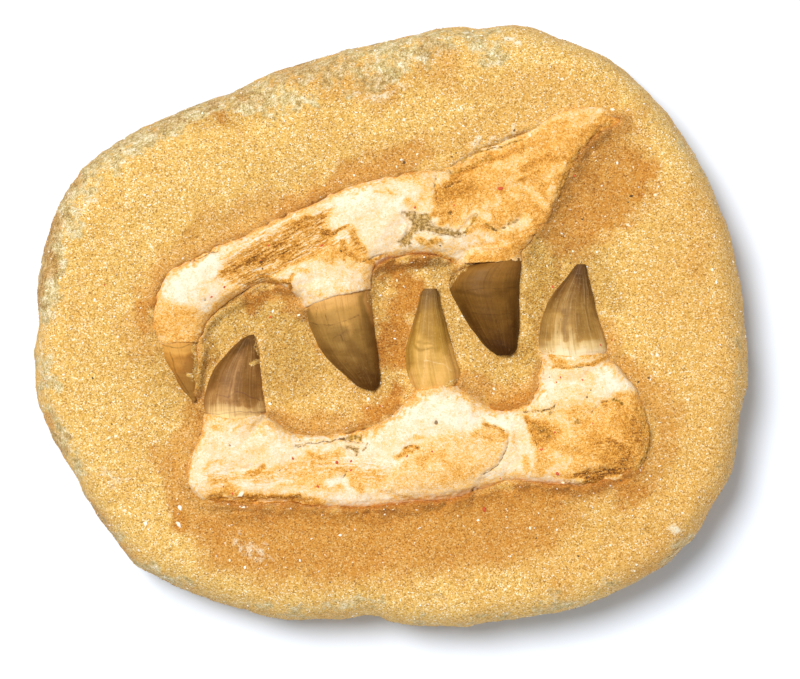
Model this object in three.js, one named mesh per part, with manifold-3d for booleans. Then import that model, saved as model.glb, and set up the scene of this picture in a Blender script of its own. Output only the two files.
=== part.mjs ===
// Two fossil mosasaur jaw bones with six teeth, lying side by side in a rounded slab of sandstone.
// Millimetres. The slab rests on z = 0, its long side along X. +Y runs from the lower jaw to the upper one.
// Bones and teeth lie in pockets of the slab, about half sunk. Each tooth's root sits in a socket of its jaw.
import * as THREE from "three";
import { ImprovedNoise } from "three/addons/math/ImprovedNoise.js";
import { mergeVertices } from "three/addons/utils/BufferGeometryUtils.js";
import Module from "manifold-3d";

const wasm = await Module();
wasm.setup();

const GAP = 0.3; // clearance between a piece and the pocket or socket that holds it
const SMALLEST_DETAIL = 0.12; // anything finer is left out of a mesh

// The slab: its height, and the hollow that was carved round the jaws.
const SLAB_TOP = 40;
const WIDEST_LEVEL = 17;
const BASIN = { x: 4, y: -3, halfLength: 104, halfWidth: 70, tilt: 0.24, depth: 4, slope: 0.28 };
const SLAB_LUMP = 34; // size of the swells on the slab
const SLAB_LUMP_HEIGHT = 1.1;
const SLAB_SEGMENTS = 84;
const TOP_RINGS = 8;

// The slab's outline seen from above, anticlockwise from its left end.
const SLAB_OUTLINE = [
  [-128, -17.5], [-127, -26.5], [-121, -42], [-112, -57], [-106.5, -66.5], [-97.5, -79], [-91.5, -86],
  [-83.5, -91], [-73, -95], [-60.5, -99.5], [-42.5, -105], [-31.5, -105.5], [-14.5, -105], [-10, -102.6],
  [-5, -102.6], [-1.5, -106], [4, -107.5], [14, -108], [29.5, -107], [46, -105], [62, -102.5], [73, -99],
  [89, -91.5], [101.5, -83.5], [108, -77.5], [113, -69.5], [117, -61], [122.5, -53.5], [123.5, -46],
  [126, -31], [128, -20], [127.5, -5], [126, 6.5], [123, 27.5], [115.5, 47.5], [100, 75], [93.5, 82],
  [78.5, 95.5], [58.5, 104], [44, 108], [38, 108.5], [33.5, 107], [26.5, 107.5], [14, 106], [-7.5, 101],
  [-18, 99], [-35, 93.5], [-65.5, 81.5], [-87.5, 71.5], [-106, 61], [-117, 48], [-124.5, 32.5],
  [-127.5, 9.5], [-126.5, 0.5], [-128.5, -7],
];

// The slab's edge from its top face down to its base: how far in from the outline, as a share of the
// rim's width there, and the height as a share of the top's.
const RIM_PROFILE = [
  [0.78, 0.985], [0.5, 0.94], [0.27, 0.86], [0.11, 0.74], [0.02, 0.58], [0, WIDEST_LEVEL / SLAB_TOP],
  [0.1, 0.22], [0.34, 0.08],
];
const BASE_INSET = 8;
const RIM_WIDTH = 11;
// Stretches of the edge that slope in further: direction and spread in radians, and the added width.
const BROAD_RIMS = [
  { towards: 2.25, spread: 0.55, width: 11 },
  { towards: 1.25, spread: 0.16, width: 8 },
  { towards: -1.95, spread: 0.35, width: 5 },
];

// Each jaw is a bar between two edges seen from above, both listed from its front end to its back end.
// right is on the right hand of someone who looks along the bar. rise is the crest's height over the rock.
const UPPER_JAW = {
  right: [
    [-69, -6.5], [-67, -2.5], [-64.5, 3], [-60.5, 6.5], [-55.5, 10.5], [-49.5, 13.5], [-44, 15.5],
    [-38, 13.5], [-32, 10], [-21, 11], [-8.5, 14], [-6, 20.5], [2.5, 24.5], [11.5, 25], [20, 23.5],
    [24, 20], [34, 23.5], [45.5, 25.5], [51, 32], [57, 39.5], [62, 51], [70.5, 64], [79.5, 71],
  ],
  left: [
    [-83.5, -6], [-85.5, 0.5], [-85.5, 7.5], [-83.5, 14.5], [-79.5, 21], [-71.5, 24.5], [-61, 30],
    [-53, 32.5], [-46, 36.5], [-36, 41], [-24.5, 46.5], [-16.5, 50], [-7.5, 52.5], [4.5, 55], [14, 56],
    [21, 58], [30, 63.5], [39.5, 67.5], [50, 71.5], [61, 77], [71, 78], [78.5, 77], [83, 74.5],
  ],
  rise: [5, 7.5, 9.5, 10, 9.5, 10, 10, 7, 6, 4.5, 2.5],
};
const LOWER_JAW = {
  right: [
    [-72.5, -57], [-69, -61.5], [-64, -63.5], [-55.5, -64.5], [-46, -64.5], [-38.5, -64], [-32.5, -64.5],
    [-23.5, -65], [-14.5, -65.5], [-5, -65], [2.5, -64], [7.5, -63.5], [16, -63], [24.5, -62], [31.5, -59],
    [37, -57], [43.5, -55.5], [51, -56.5], [58.5, -57], [67, -57.5], [77.5, -57], [84, -55], [89, -50.5],
    [91.5, -43.5],
  ],
  left: [
    [-71.5, -48], [-69, -41], [-66.5, -36.5], [-55.5, -36], [-44.5, -32], [-40, -34.5], [-35.5, -38],
    [-25.5, -38.5], [-14.5, -37], [-5, -34.5], [1.5, -30], [7, -24.5], [15, -24], [24.5, -22], [30.5, -25.5],
    [36, -29], [43.5, -29], [49.5, -26.5], [54, -19], [65.5, -16], [77, -12], [83.5, -17.5], [88.5, -25],
    [91.5, -35.5],
  ],
  rise: [4.5, 8, 8.5, 8, 8, 9, 10, 8.5, 9.5, 10, 8, 5],
};
const JAW_DEPTH = 5; // how far a jaw reaches below the rock's surface
const JAW_RINGS = 36;
const JAW_SECTION = { sides: 15, over: 12, squareness: 0.7 };
const BONE_LUMP = 10;
const BONE_LUMP_HEIGHT = 1.3;
// Swells (height above 0) and hollows (below 0) on the bones: ellipses, each with its centre, half lengths
// and turn.
const BONE_RELIEF = [
  { at: [-38, 27], reach: [22, 6], turn: 0.42, height: -1.3 }, // the worn patch of the upper jaw's front half
  { at: [-71, 13], reach: [9, 7], turn: 0.9, height: 0.8 },
  { at: [-8, 38], reach: [13, 8], turn: 0.35, height: 1 },
  { at: [6, 37], reach: [3, 12], turn: -0.5, height: -1.2 }, // the mended break
  { at: [30, 60], reach: [15, 2.6], turn: 0.43, height: -1.5 }, // the groove under the upper edge
  { at: [43, 66], reach: [26, 2.4], turn: 0.42, height: 1 },
  { at: [26, 33], reach: [17, 3.4], turn: 0.2, height: 1 },
  { at: [46, 44], reach: [10, 8], turn: 0.8, height: -0.8 },
  { at: [-58, -42], reach: [10, 5], turn: -0.2, height: 0.9 },
  { at: [-36, -50], reach: [24, 3], turn: 0.08, height: -1.1 }, // the long dent behind the front tooth
  { at: [-14, -40], reach: [7, 3], turn: 0.2, height: -1 },
  { at: [22, -51], reach: [19, 8], turn: 0.12, height: 1.1 }, // the leaf-shaped flake of bone
  { at: [45, -44], reach: [4, 12], turn: -0.35, height: -1.4 }, // between the flake and the back block
  { at: [68, -27], reach: [13, 6], turn: -0.1, height: 0.8 },
  { at: [54, -33], reach: [6, 5], turn: 0, height: -0.9 },
  { at: [80, -42], reach: [8, 9], turn: 0.3, height: 0.9 },
];

// Each tooth's two edges seen from above, from the gum line to the tip.
const TEETH = {
  upper_tooth_front: {
    jaw: "upper_jaw",
    colour: 0xbf8336,
    seat: { length: 5, flare: 1.04 },
    right: [[-82.5, -6], [-81, -11], [-78, -16], [-74.5, -22], [-72, -25], [-70.5, -27]],
    left: [[-69, -6], [-68.5, -10.5], [-68.5, -16], [-69, -22], [-69.5, -25], [-69.5, -27]],
  },
  upper_tooth_middle: {
    jaw: "upper_jaw",
    colour: 0x96703a,
    right: [
      [-32, 8], [-30, 2], [-27.5, -4], [-24.5, -9.5], [-20.5, -14], [-16, -18], [-12, -21.5], [-8, -23],
    ],
    left: [
      [-7.5, 13], [-7, 5], [-6, -2.5], [-5, -9.5], [-4.5, -14.5], [-4, -18.5], [-4.5, -21.5], [-6, -23],
    ],
  },
  upper_tooth_back: {
    jaw: "upper_jaw",
    colour: 0x785120,
    seat: { length: 5, flare: 1 },
    right: [[24, 22], [21, 17.5], [21, 12.5], [23.5, 6], [28, -0.5], [32, -5.5], [35, -9], [38.5, -10.5]],
    left: [[46.5, 23], [46, 19], [45.5, 14], [45.5, 7], [45.5, 0.5], [45, -4.5], [44.5, -8.5], [42.5, -10.5]],
  },
  lower_tooth_front: {
    jaw: "lower_jaw",
    colour: 0xa27848,
    right: [[-44.5, -31], [-45, -29], [-46, -24], [-46.5, -16.5], [-47.3, -9.5], [-48.6, -4.8], [-49, -3]],
    left: [[-67, -35], [-67, -30], [-66.5, -24.5], [-63.5, -16], [-58.5, -9.5], [-54, -5.2], [-51, -3.4]],
  },
  lower_tooth_middle: {
    jaw: "lower_jaw",
    colour: 0xc79a52,
    right: [[24, -21], [24.5, -17], [22, -8.5], [19.5, 0.5], [17, 8.5], [16.5, 13]],
    left: [[8, -23], [5.5, -17], [5, -8.5], [7.5, 0.5], [9.5, 8.5], [10.5, 13]],
  },
  lower_tooth_back: {
    jaw: "lower_jaw",
    colour: 0xa5804d,
    right: [[77, -9.5], [76.5, -6], [74, 1.5], [72.5, 7.5], [71.5, 12.5], [70, 18], [69, 22]],
    left: [[53.5, -11.5], [52.5, -6], [53.5, 1.5], [55.5, 7.5], [58.5, 12.5], [63, 18], [66, 22]],
  },
};
const TOOTH_ROUNDNESS = 0.8; // a tooth's thickness over its width
const TOOTH_LIFT = { gum: 0.4, tip: 1.9 }; // how far the tooth's middle is over the rock
const TOOTH_RINGS = 9;
const TOOTH_SECTION = { sides: 14, over: 9, squareness: 1 };
const ROOT_LENGTH = 4;
const SEAT = { length: 13, flare: 1.22 }; // the bony seat round each root, where a tooth names no other
const SEAT_MARGIN = 0.9;
const SEAT_RINGS = 4;

const SANDSTONE = { color: 0xe8ba6c, roughness: 0.95 };
const BONE = { color: 0xfbe3b4, roughness: 0.8 };
const ENAMEL_ROUGHNESS = 0.35;

const noise = new ImprovedNoise();
const swell = (x, y, z, size) => noise.noise(x / size, y / size, z / size);
const smooth = (t) => THREE.MathUtils.smoothstep(t, 0, 1);
const bell = (t) => Math.exp(-t * t);
const flat = ([x, y]) => new THREE.Vector3(x, y, 0);

// The angle from one direction to another, between -pi and pi.
const turnBetween = (from, to) => THREE.MathUtils.euclideanModulo(to - from + Math.PI, 2 * Math.PI) - Math.PI;

// How deep the carved hollow is at a point, from 0 outside it to 1 on its floor.
function basinShare(x, y) {
  const dx = x - BASIN.x;
  const dy = y - BASIN.y;
  const along = dx * Math.cos(BASIN.tilt) + dy * Math.sin(BASIN.tilt);
  const across = dy * Math.cos(BASIN.tilt) - dx * Math.sin(BASIN.tilt);
  const reach = Math.hypot(along / BASIN.halfLength, across / BASIN.halfWidth);
  return smooth((1 - reach) / BASIN.slope);
}

// Height of the rock's upper face.
function rockHeight(x, y) {
  return SLAB_TOP - BASIN.depth * basinShare(x, y) + SLAB_LUMP_HEIGHT * swell(x, y, 0, SLAB_LUMP);
}

// Height that the swells and hollows add to a bone's crest.
function boneRelief(x, y) {
  return BONE_RELIEF.reduce((sum, { at, reach, turn, height }) => {
    const away = new THREE.Vector2(x - at[0], y - at[1]).rotateAround(new THREE.Vector2(), -turn);
    return sum + height * bell(Math.hypot(away.x / reach[0], away.y / reach[1]) ** 2);
  }, BONE_LUMP_HEIGHT * swell(x, y, 5, BONE_LUMP));
}

// A closed skin on a sphere's grid. place(u, v) gives the point at turn u, anticlockwise for someone at the
// start who looks along the piece, and at v from the start (0) to the end (1).
function closedSkin(place, sides, rings) {
  const geometry = new THREE.SphereGeometry(1, sides, rings);
  const position = geometry.getAttribute("position");
  const uv = geometry.getAttribute("uv");
  for (let i = 0; i < position.count; i++) {
    const point = place(uv.getX(i), 1 - uv.getY(i));
    position.setXYZ(i, point.x, point.y, point.z);
  }
  return geometry;
}

// Distance from the centre to the closed outline in each of the slab's directions.
function outlineReach() {
  const curve = new THREE.CatmullRomCurve3(SLAB_OUTLINE.map(flat), true, "centripetal");
  const points = curve.getPoints(SLAB_OUTLINE.length * 12);
  return (angle) => {
    for (let i = 1; i < points.length; i++) {
      const [a, b] = [points[i - 1], points[i]];
      const from = turnBetween(angle, Math.atan2(a.y, a.x));
      const to = turnBetween(angle, Math.atan2(b.y, b.x));
      if (from <= 0 && to > 0 && to - from < 1)
        return THREE.MathUtils.lerp(Math.hypot(a.x, a.y), Math.hypot(b.x, b.y), -from / (to - from));
    }
    throw new Error("the outline has a gap");
  };
}

function rimWidth(angle) {
  return BROAD_RIMS.reduce(
    (width, rim) => width + rim.width * bell(turnBetween(rim.towards, angle) / rim.spread),
    RIM_WIDTH,
  );
}

function slabGeometry() {
  const reachAt = outlineReach();
  const rimEnd = TOP_RINGS + RIM_PROFILE.length;
  const rings = rimEnd + 2; // the base's edge, and the base's centre
  const reaches = new Map();
  const reach = (angle, key) => {
    if (!reaches.has(key)) reaches.set(key, reachAt(angle));
    return reaches.get(key);
  };
  return closedSkin((u, v) => {
    const ring = Math.round(v * rings);
    if (ring === rings) return new THREE.Vector3(0, 0, 0);
    if (ring === 0) return new THREE.Vector3(0, 0, rockHeight(0, 0));
    const side = Math.round(u * SLAB_SEGMENTS) % SLAB_SEGMENTS;
    const angle = (2 * Math.PI * side) / SLAB_SEGMENTS;
    const [edge, width] = [reach(angle, side), rimWidth(angle)];
    const at = (radius, height) =>
      new THREE.Vector3(radius * Math.cos(angle), radius * Math.sin(angle), height);
    if (ring === rimEnd + 1) return at(edge - BASE_INSET, 0);
    if (ring <= TOP_RINGS) {
      const top = at(((edge - width) * ring) / TOP_RINGS, 0);
      return top.setZ(rockHeight(top.x, top.y));
    }
    const [inset, height] = RIM_PROFILE[ring - TOP_RINGS - 1];
    const below = height < WIDEST_LEVEL / SLAB_TOP;
    const point = at(edge - inset * (below ? BASE_INSET : width * 0.94), SLAB_TOP * height);
    const bulge = SLAB_LUMP_HEIGHT * swell(point.x, point.y, 2 * point.z, SLAB_LUMP / 2);
    return at(Math.hypot(point.x, point.y) + Math.min(bulge, 0.5), point.z + (below ? 0 : bulge));
  }, SLAB_SEGMENTS, rings);
}

// A bar between two edges: rings(t) gives the two edge points at t from 0 to 1, the level of the bar's widest
// line, and how far the bar rises over and reaches under that level. relief(x, y) is added on its upper face.
function barGeometry({ rings, section, count, relief = () => 0 }, grow) {
  const { sides, over, squareness } = section;
  const rounded = (value) => Math.sign(value) * Math.abs(value) ** squareness;
  return closedSkin((u, v) => {
    const ring = Math.round(v * count);
    const { right, left, middle, rise, under } = rings(THREE.MathUtils.clamp((ring - 1) / (count - 2), 0, 1));
    const centre = right.clone().lerp(left, 0.5);
    const half = right.clone().sub(centre);
    const reach = half.length();
    half.divideScalar(reach);
    const endwards = ring <= 1 ? -grow : ring >= count - 1 ? grow : 0;
    centre.add(new THREE.Vector3(-half.y, half.x, 0).multiplyScalar(endwards)).setZ(middle);
    if (ring === 0 || ring === count) return centre;
    const side = Math.round(u * sides) % sides;
    const angle = side <= over ? (Math.PI * side) / over : Math.PI * (1 + (side - over) / (sides - over));
    const [across, up] = [rounded(Math.cos(angle)), rounded(Math.sin(angle))];
    const point = centre.addScaledVector(half, across * (reach + grow));
    const height = up > 0 ? up * (rise + grow + relief(point.x, point.y)) : up * (under + grow);
    return point.setZ(middle + height);
  }, sides, count);
}

const curveThrough = (points) => new THREE.CatmullRomCurve3(points.map(flat), false, "centripetal");

// A value along a bar, eased between evenly spaced values.
function along(values, t) {
  const place = t * (values.length - 1);
  const i = Math.min(Math.floor(place), values.length - 2);
  return THREE.MathUtils.lerp(values[i], values[i + 1], smooth(place - i));
}

function jawRings(jaw) {
  const rightEdge = curveThrough(jaw.right);
  const leftEdge = curveThrough(jaw.left);
  return (t) => {
    const [right, left] = [rightEdge.getPoint(t), leftEdge.getPoint(t)];
    const middle = rockHeight((right.x + left.x) / 2, (right.y + left.y) / 2);
    const rise = along(jaw.rise, t);
    return { right, left, middle, rise, under: Math.min(JAW_DEPTH, 2 + 0.5 * rise) };
  };
}

// The tooth's gum line: its two ends, its middle, and the direction in which the tooth points.
function gumLine(tooth) {
  const [right, left] = [flat(tooth.right[0]), flat(tooth.left[0])];
  const middle = right.clone().lerp(left, 0.5);
  const tip = flat(tooth.right.at(-1)).lerp(flat(tooth.left.at(-1)), 0.5);
  return { right, left, middle, towards: tip.sub(middle).normalize() };
}

// Edge points moved back from the gum line into the jaw, and drawn apart or together by a factor.
function behindGumLine(gum, distance, factor) {
  const shift = gum.towards.clone().multiplyScalar(-distance);
  const move = (p) => p.clone().sub(gum.middle).multiplyScalar(factor).add(gum.middle).add(shift);
  return { right: move(gum.right), left: move(gum.left) };
}

function toothRings(tooth) {
  const gum = gumLine(tooth);
  const root = behindGumLine(gum, ROOT_LENGTH, 0.86);
  const rightEdge = curveThrough([[root.right.x, root.right.y], ...tooth.right]);
  const leftEdge = curveThrough([[root.left.x, root.left.y], ...tooth.left]);
  return (t) => {
    const [right, left] = [rightEdge.getPoint(t), leftEdge.getPoint(t)];
    const rise = (right.distanceTo(left) / 2) * TOOTH_ROUNDNESS;
    const lift = THREE.MathUtils.lerp(TOOTH_LIFT.gum, TOOTH_LIFT.tip, t * t);
    const middle = rockHeight((right.x + left.x) / 2, (right.y + left.y) / 2) + lift;
    return { right, left, middle, rise, under: THREE.MathUtils.clamp(rise, lift + 0.8, JAW_DEPTH) };
  };
}

// A seat narrows from the jaw's body to the gum line and is a little thicker than the tooth that it holds.
function seatRings(tooth) {
  const { length, flare } = tooth.seat ?? SEAT;
  const gum = gumLine(tooth);
  const halfWidth = gum.right.distanceTo(gum.left) / 2;
  const crest = halfWidth * TOOTH_ROUNDNESS + SEAT_MARGIN;
  return (t) => {
    const factor = THREE.MathUtils.lerp(flare, 1 + SEAT_MARGIN / halfWidth, t);
    const { right, left } = behindGumLine(gum, length * (1 - t), factor);
    const middle = rockHeight((right.x + left.x) / 2, (right.y + left.y) / 2) + TOOTH_LIFT.gum * t;
    return { right, left, middle, rise: crest * THREE.MathUtils.lerp(0.82, 1, t), under: JAW_DEPTH - 0.5 };
  };
}

function solidOf(geometry) {
  const bare = new THREE.BufferGeometry()
    .setAttribute("position", geometry.getAttribute("position"))
    .setIndex(geometry.getIndex());
  const merged = mergeVertices(bare);
  return new wasm.Manifold(
    new wasm.Mesh({
      numProp: 3,
      vertProperties: merged.getAttribute("position").array,
      triVerts: new Uint32Array(merged.getIndex().array),
    }),
  );
}

function geometryOf(solid) {
  const { vertProperties, triVerts } = solid.getMesh();
  return new THREE.BufferGeometry()
    .setAttribute("position", new THREE.BufferAttribute(new Float32Array(vertProperties), 3))
    .setIndex(new THREE.BufferAttribute(new Uint32Array(triVerts), 1));
}

const barSolid = (bar, grow) => solidOf(barGeometry(bar, grow));
const toothSolid = (tooth, grow) =>
  barSolid({ rings: toothRings(tooth), section: TOOTH_SECTION, count: TOOTH_RINGS }, grow);
const seatSolid = (tooth, grow) =>
  barSolid({ rings: seatRings(tooth), section: TOOTH_SECTION, count: SEAT_RINGS }, grow);
const teethOf = (jawName) => Object.values(TEETH).filter((tooth) => tooth.jaw === jawName);

// A jaw's bar with the seats that carry its teeth.
function jawSolid(jawName, jaw, grow) {
  const bar = { rings: jawRings(jaw), section: JAW_SECTION, count: JAW_RINGS, relief: boneRelief };
  return teethOf(jawName).reduce((bone, tooth) => bone.add(seatSolid(tooth, grow)), barSolid(bar, grow));
}

function piece(name, solid, finish) {
  const material = new THREE.MeshStandardMaterial({ ...finish, metalness: 0 });
  const mesh = new THREE.Mesh(geometryOf(solid.simplify(SMALLEST_DETAIL)), material);
  mesh.name = name;
  return mesh;
}

const fossil = new THREE.Group();
const jaws = { upper_jaw: UPPER_JAW, lower_jaw: LOWER_JAW };

// Teeth, then jaws with a socket for each root, then the slab with a pocket for everything.
for (const [name, tooth] of Object.entries(TEETH)) {
  const enamel = { color: tooth.colour, roughness: ENAMEL_ROUGHNESS };
  fossil.add(piece(name, toothSolid(tooth, 0), enamel));
}

for (const [name, jaw] of Object.entries(jaws)) {
  const whole = jawSolid(name, jaw, 0);
  const bone = teethOf(name).reduce((rest, tooth) => rest.subtract(toothSolid(tooth, GAP)), whole);
  fossil.add(piece(name, bone, BONE));
}

let slab = solidOf(slabGeometry());
for (const [name, jaw] of Object.entries(jaws)) slab = slab.subtract(jawSolid(name, jaw, GAP));
for (const tooth of Object.values(TEETH)) slab = slab.subtract(toothSolid(tooth, GAP));
fossil.add(piece("sandstone_slab", slab, SANDSTONE));

// The origin is under the middle of the object's box.
const middle = new THREE.Box3().setFromObject(fossil).getCenter(new THREE.Vector3());
fossil.position.set(-middle.x, -middle.y, 0);

export default fossil;
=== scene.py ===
"""The looks of two fossil mosasaur jaw bones with six teeth, half sunk in a rounded slab of sandstone."""

import math

import bmesh
import bpy
import numpy as np
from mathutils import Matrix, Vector, noise
from mathutils.bvhtree import BVHTree
from mathutils.kdtree import KDTree


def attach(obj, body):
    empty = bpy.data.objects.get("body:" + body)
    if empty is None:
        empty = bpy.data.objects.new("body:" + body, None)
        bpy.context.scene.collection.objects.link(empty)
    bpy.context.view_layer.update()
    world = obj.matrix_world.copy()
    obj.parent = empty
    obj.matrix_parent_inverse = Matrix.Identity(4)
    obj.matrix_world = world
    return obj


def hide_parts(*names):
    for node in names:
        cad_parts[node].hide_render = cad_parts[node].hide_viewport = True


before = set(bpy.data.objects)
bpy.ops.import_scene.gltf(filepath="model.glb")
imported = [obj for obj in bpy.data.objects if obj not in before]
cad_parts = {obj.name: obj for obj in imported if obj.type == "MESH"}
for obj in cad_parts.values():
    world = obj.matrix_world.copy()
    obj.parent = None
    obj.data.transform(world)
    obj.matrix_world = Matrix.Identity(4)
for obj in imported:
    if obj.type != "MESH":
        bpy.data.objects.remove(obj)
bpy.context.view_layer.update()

# Lengths are millimetres until a mesh is made. Places on the slab's face are pixels of the photograph.
MM = 0.001
PIXEL = 0.36  # how wide a pixel is at PIXEL_RANGE from the camera
PIXEL_RANGE = 2000.0
VIEW_HEIGHT = 2018.0
VIEW_CENTRE = np.array([3.34, -4.99])
PHOTO_CENTRE = np.array([400.0, 339.5])
FACE_LEVEL = 38.0
ABOVE_ALL = 90.0
BELOW_ALL = -5.0
NO_CRACK = 9.0  # a distance past which nothing counts as a crack


# Helpers

def on_slab(pixels, level=FACE_LEVEL):
    """Pixels of the photograph as places on the slab's face."""
    scale = PIXEL * (VIEW_HEIGHT - level) / PIXEL_RANGE
    away = (np.asarray(pixels, float) - PHOTO_CENTRE) * scale
    return VIEW_CENTRE + away * np.array([1, -1])


def linear(hex_colour):
    """An sRGB hex colour as the linear colour that a shader takes."""
    levels = [int(hex_colour[i:i + 2], 16) / 255 for i in (1, 3, 5)]
    return [c / 12.92 if c <= 0.04045 else ((c + 0.055) / 1.055) ** 2.4 for c in levels] + [1.0]


def smooth(t):
    """A soft step from 0 to 1."""
    t = np.clip(t, 0, 1)
    return t * t * (3 - 2 * t)


def lumps(points, size, seed):
    """Smooth noise, about -1 to 1, with swells of the given size."""
    offset = Vector((seed, 1.7 * seed, -seed))
    return np.array([noise.noise(Vector(p) / size + offset) for p in points]) * 1.6


def layered(points, layers, start=0):
    """Lumps in layers, each of its own height, size and seed, added to a start."""
    return sum((height * lumps(points, size, seed) for height, size, seed in layers), start)


def wander(points, reach):
    """An uneven shift for each point, so that the lines drawn on them wander."""
    return reach * np.stack([lumps(points, 2.5, 21), lumps(points, 2.5, 22)], 1)


def distance_to(places, path):
    """Distance of each place from a line on the slab's face that is given in pixels."""
    path = on_slab(path)
    away = np.full(len(places), 1e9)
    for a, b in zip(path[:-1], path[1:]):
        along = np.clip(((places - a) @ (b - a)) / max((b - a) @ (b - a), 1e-9), 0, 1)
        away = np.minimum(away, np.linalg.norm(places - a - along[:, None] * (b - a), axis=1))
    return away


def crack_distance(places, paths):
    """The distance of each place from the nearest crack."""
    away = np.full(len(places), NO_CRACK)
    for path in paths:
        away = np.minimum(away, distance_to(places, path))
    return away


def is_within(places, path):
    """Whether each place lies in the area round which the path runs."""
    path = on_slab(path)
    crossed = np.zeros(len(places), bool)
    for (ax, ay), (bx, by) in zip(path[:-1], path[1:]):
        if ay != by:
            beside = (ay > places[:, 1]) != (by > places[:, 1])
            crossed ^= beside & (places[:, 0] < (bx - ax) * (places[:, 1] - ay) / (by - ay) + ax)
    return crossed


def covered(places, path, reach):
    """How far a stroke covers each place. A path that ends where it began is an area."""
    away = distance_to(places, path)
    if path[0] == path[-1]:
        return smooth(0.5 - np.where(is_within(places, path), -away, away) / (2 * reach))
    return smooth(1.35 * (1 - away / reach))


def painted(points, strokes, wobble, seed, ground=0.0):
    """Strokes laid over a ground one after the other, each (value, reach, path), with uneven edges."""
    flat = np.column_stack([points[:, :2], np.zeros(len(points))])
    shift = np.stack([lumps(flat, 9, seed), lumps(flat, 9, seed + 5)], 1) + 0.6 * np.stack(
        [lumps(flat, 3.2, seed + 9), lumps(flat, 3.2, seed + 14)], 1)
    moved = points[:, :2] + wobble * shift
    value = np.full(len(points), float(ground))
    for level, reach, path in strokes:
        value += (level - value) * covered(moved, path, reach)
    return value


def top_at(tree, x, y):
    """The highest place of a surface there, or None."""
    return tree.ray_cast(Vector((x, y, ABOVE_ALL)), Vector((0, 0, -1)))[0]


def curve_through(points, t):
    """Points at shares t, from 0 to 1, of a smooth curve through evenly counted points."""
    points = np.asarray(points, float)
    padded = np.vstack([2 * points[0] - points[1], points, 2 * points[-1] - points[-2]])
    place = np.clip(t, 0, 1) * (len(points) - 1)
    i = np.minimum(place.astype(int), len(points) - 2)
    f = (place - i)[:, None]
    p0, p1, p2, p3 = (padded[i + k] for k in range(4))
    return 0.5 * (2 * p1 + (p2 - p0) * f + (2 * p0 - 5 * p1 + 4 * p2 - p3) * f ** 2
                  + (3 * p1 - p0 - 3 * p2 + p3) * f ** 3)


def add_shares(mesh, shares):
    """One value a vertex for each named list."""
    for label, values in shares.items():
        mesh.attributes.new(label, "FLOAT", "POINT").data.foreach_set("value", np.asarray(values, np.float32))


def linked(name, data):
    """A new object in the scene."""
    thing = bpy.data.objects.new(name, data)
    bpy.context.scene.collection.objects.link(thing)
    return thing


def settle(piece):
    """Turns a piece's modifiers into plain mesh."""
    mesh = bpy.data.meshes.new_from_object(piece.evaluated_get(bpy.context.evaluated_depsgraph_get()))
    piece.modifiers.clear()
    piece.data = mesh


def new_piece(name, vertices, faces, shares, node=None, material=None):
    """A smooth mesh piece that rides on the body."""
    mesh = bpy.data.meshes.new(name)
    mesh.from_pydata((np.asarray(vertices) * MM).tolist(), [], faces)
    mesh.polygons.foreach_set("use_smooth", [True] * len(mesh.polygons))
    add_shares(mesh, shares)
    if material:
        mesh.materials.append(material)
    return place_piece(linked(name, mesh), node)


def place_piece(piece, node=None):
    """A piece that rides on the body, with the node that it stands for."""
    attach(piece, "root")
    if node:
        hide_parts(node)
    return piece


def tree_of(*pieces):
    """A search tree over pieces, in millimetres."""
    vertices, faces = [], []
    for piece in pieces:
        start = len(vertices)
        vertices += [tuple(v.co / MM) for v in piece.data.vertices]
        faces += [[start + v for v in p.vertices] for p in piece.data.polygons]
    return BVHTree.FromPolygons(vertices, faces)


def feed(tree, socket, value):
    """Gives a socket plain numbers, a hex colour, a material, another socket, or a node's first output."""
    if isinstance(value, bpy.types.Node):
        value = value.outputs[0]
    if isinstance(value, bpy.types.NodeSocket):
        tree.links.new(value, socket)
    else:
        socket.default_value = linear(value) if str(value).startswith("#") else value


def add(tree, kind, inputs=None, stops=None, **settings):
    """Adds a node to a tree, with its settings, a ramp's stops, and what its inputs are fed with."""
    node = tree.nodes.new(kind)
    for name, value in settings.items():
        setattr(node, name, value)
    if stops:
        marks = node.color_ramp.elements
        while len(marks) < len(stops):
            marks.new(0.5)
        for mark, (position, colour) in zip(marks, stops):
            mark.position = position
            mark.color = linear(colour)
    for socket, value in (inputs or {}).items():
        feed(tree, node.inputs[socket], value)
    return node


# Teeth

DRAWING_SHIFT = np.array([0.28, -0.13])  # from the CAD's drawing to the frame
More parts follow.
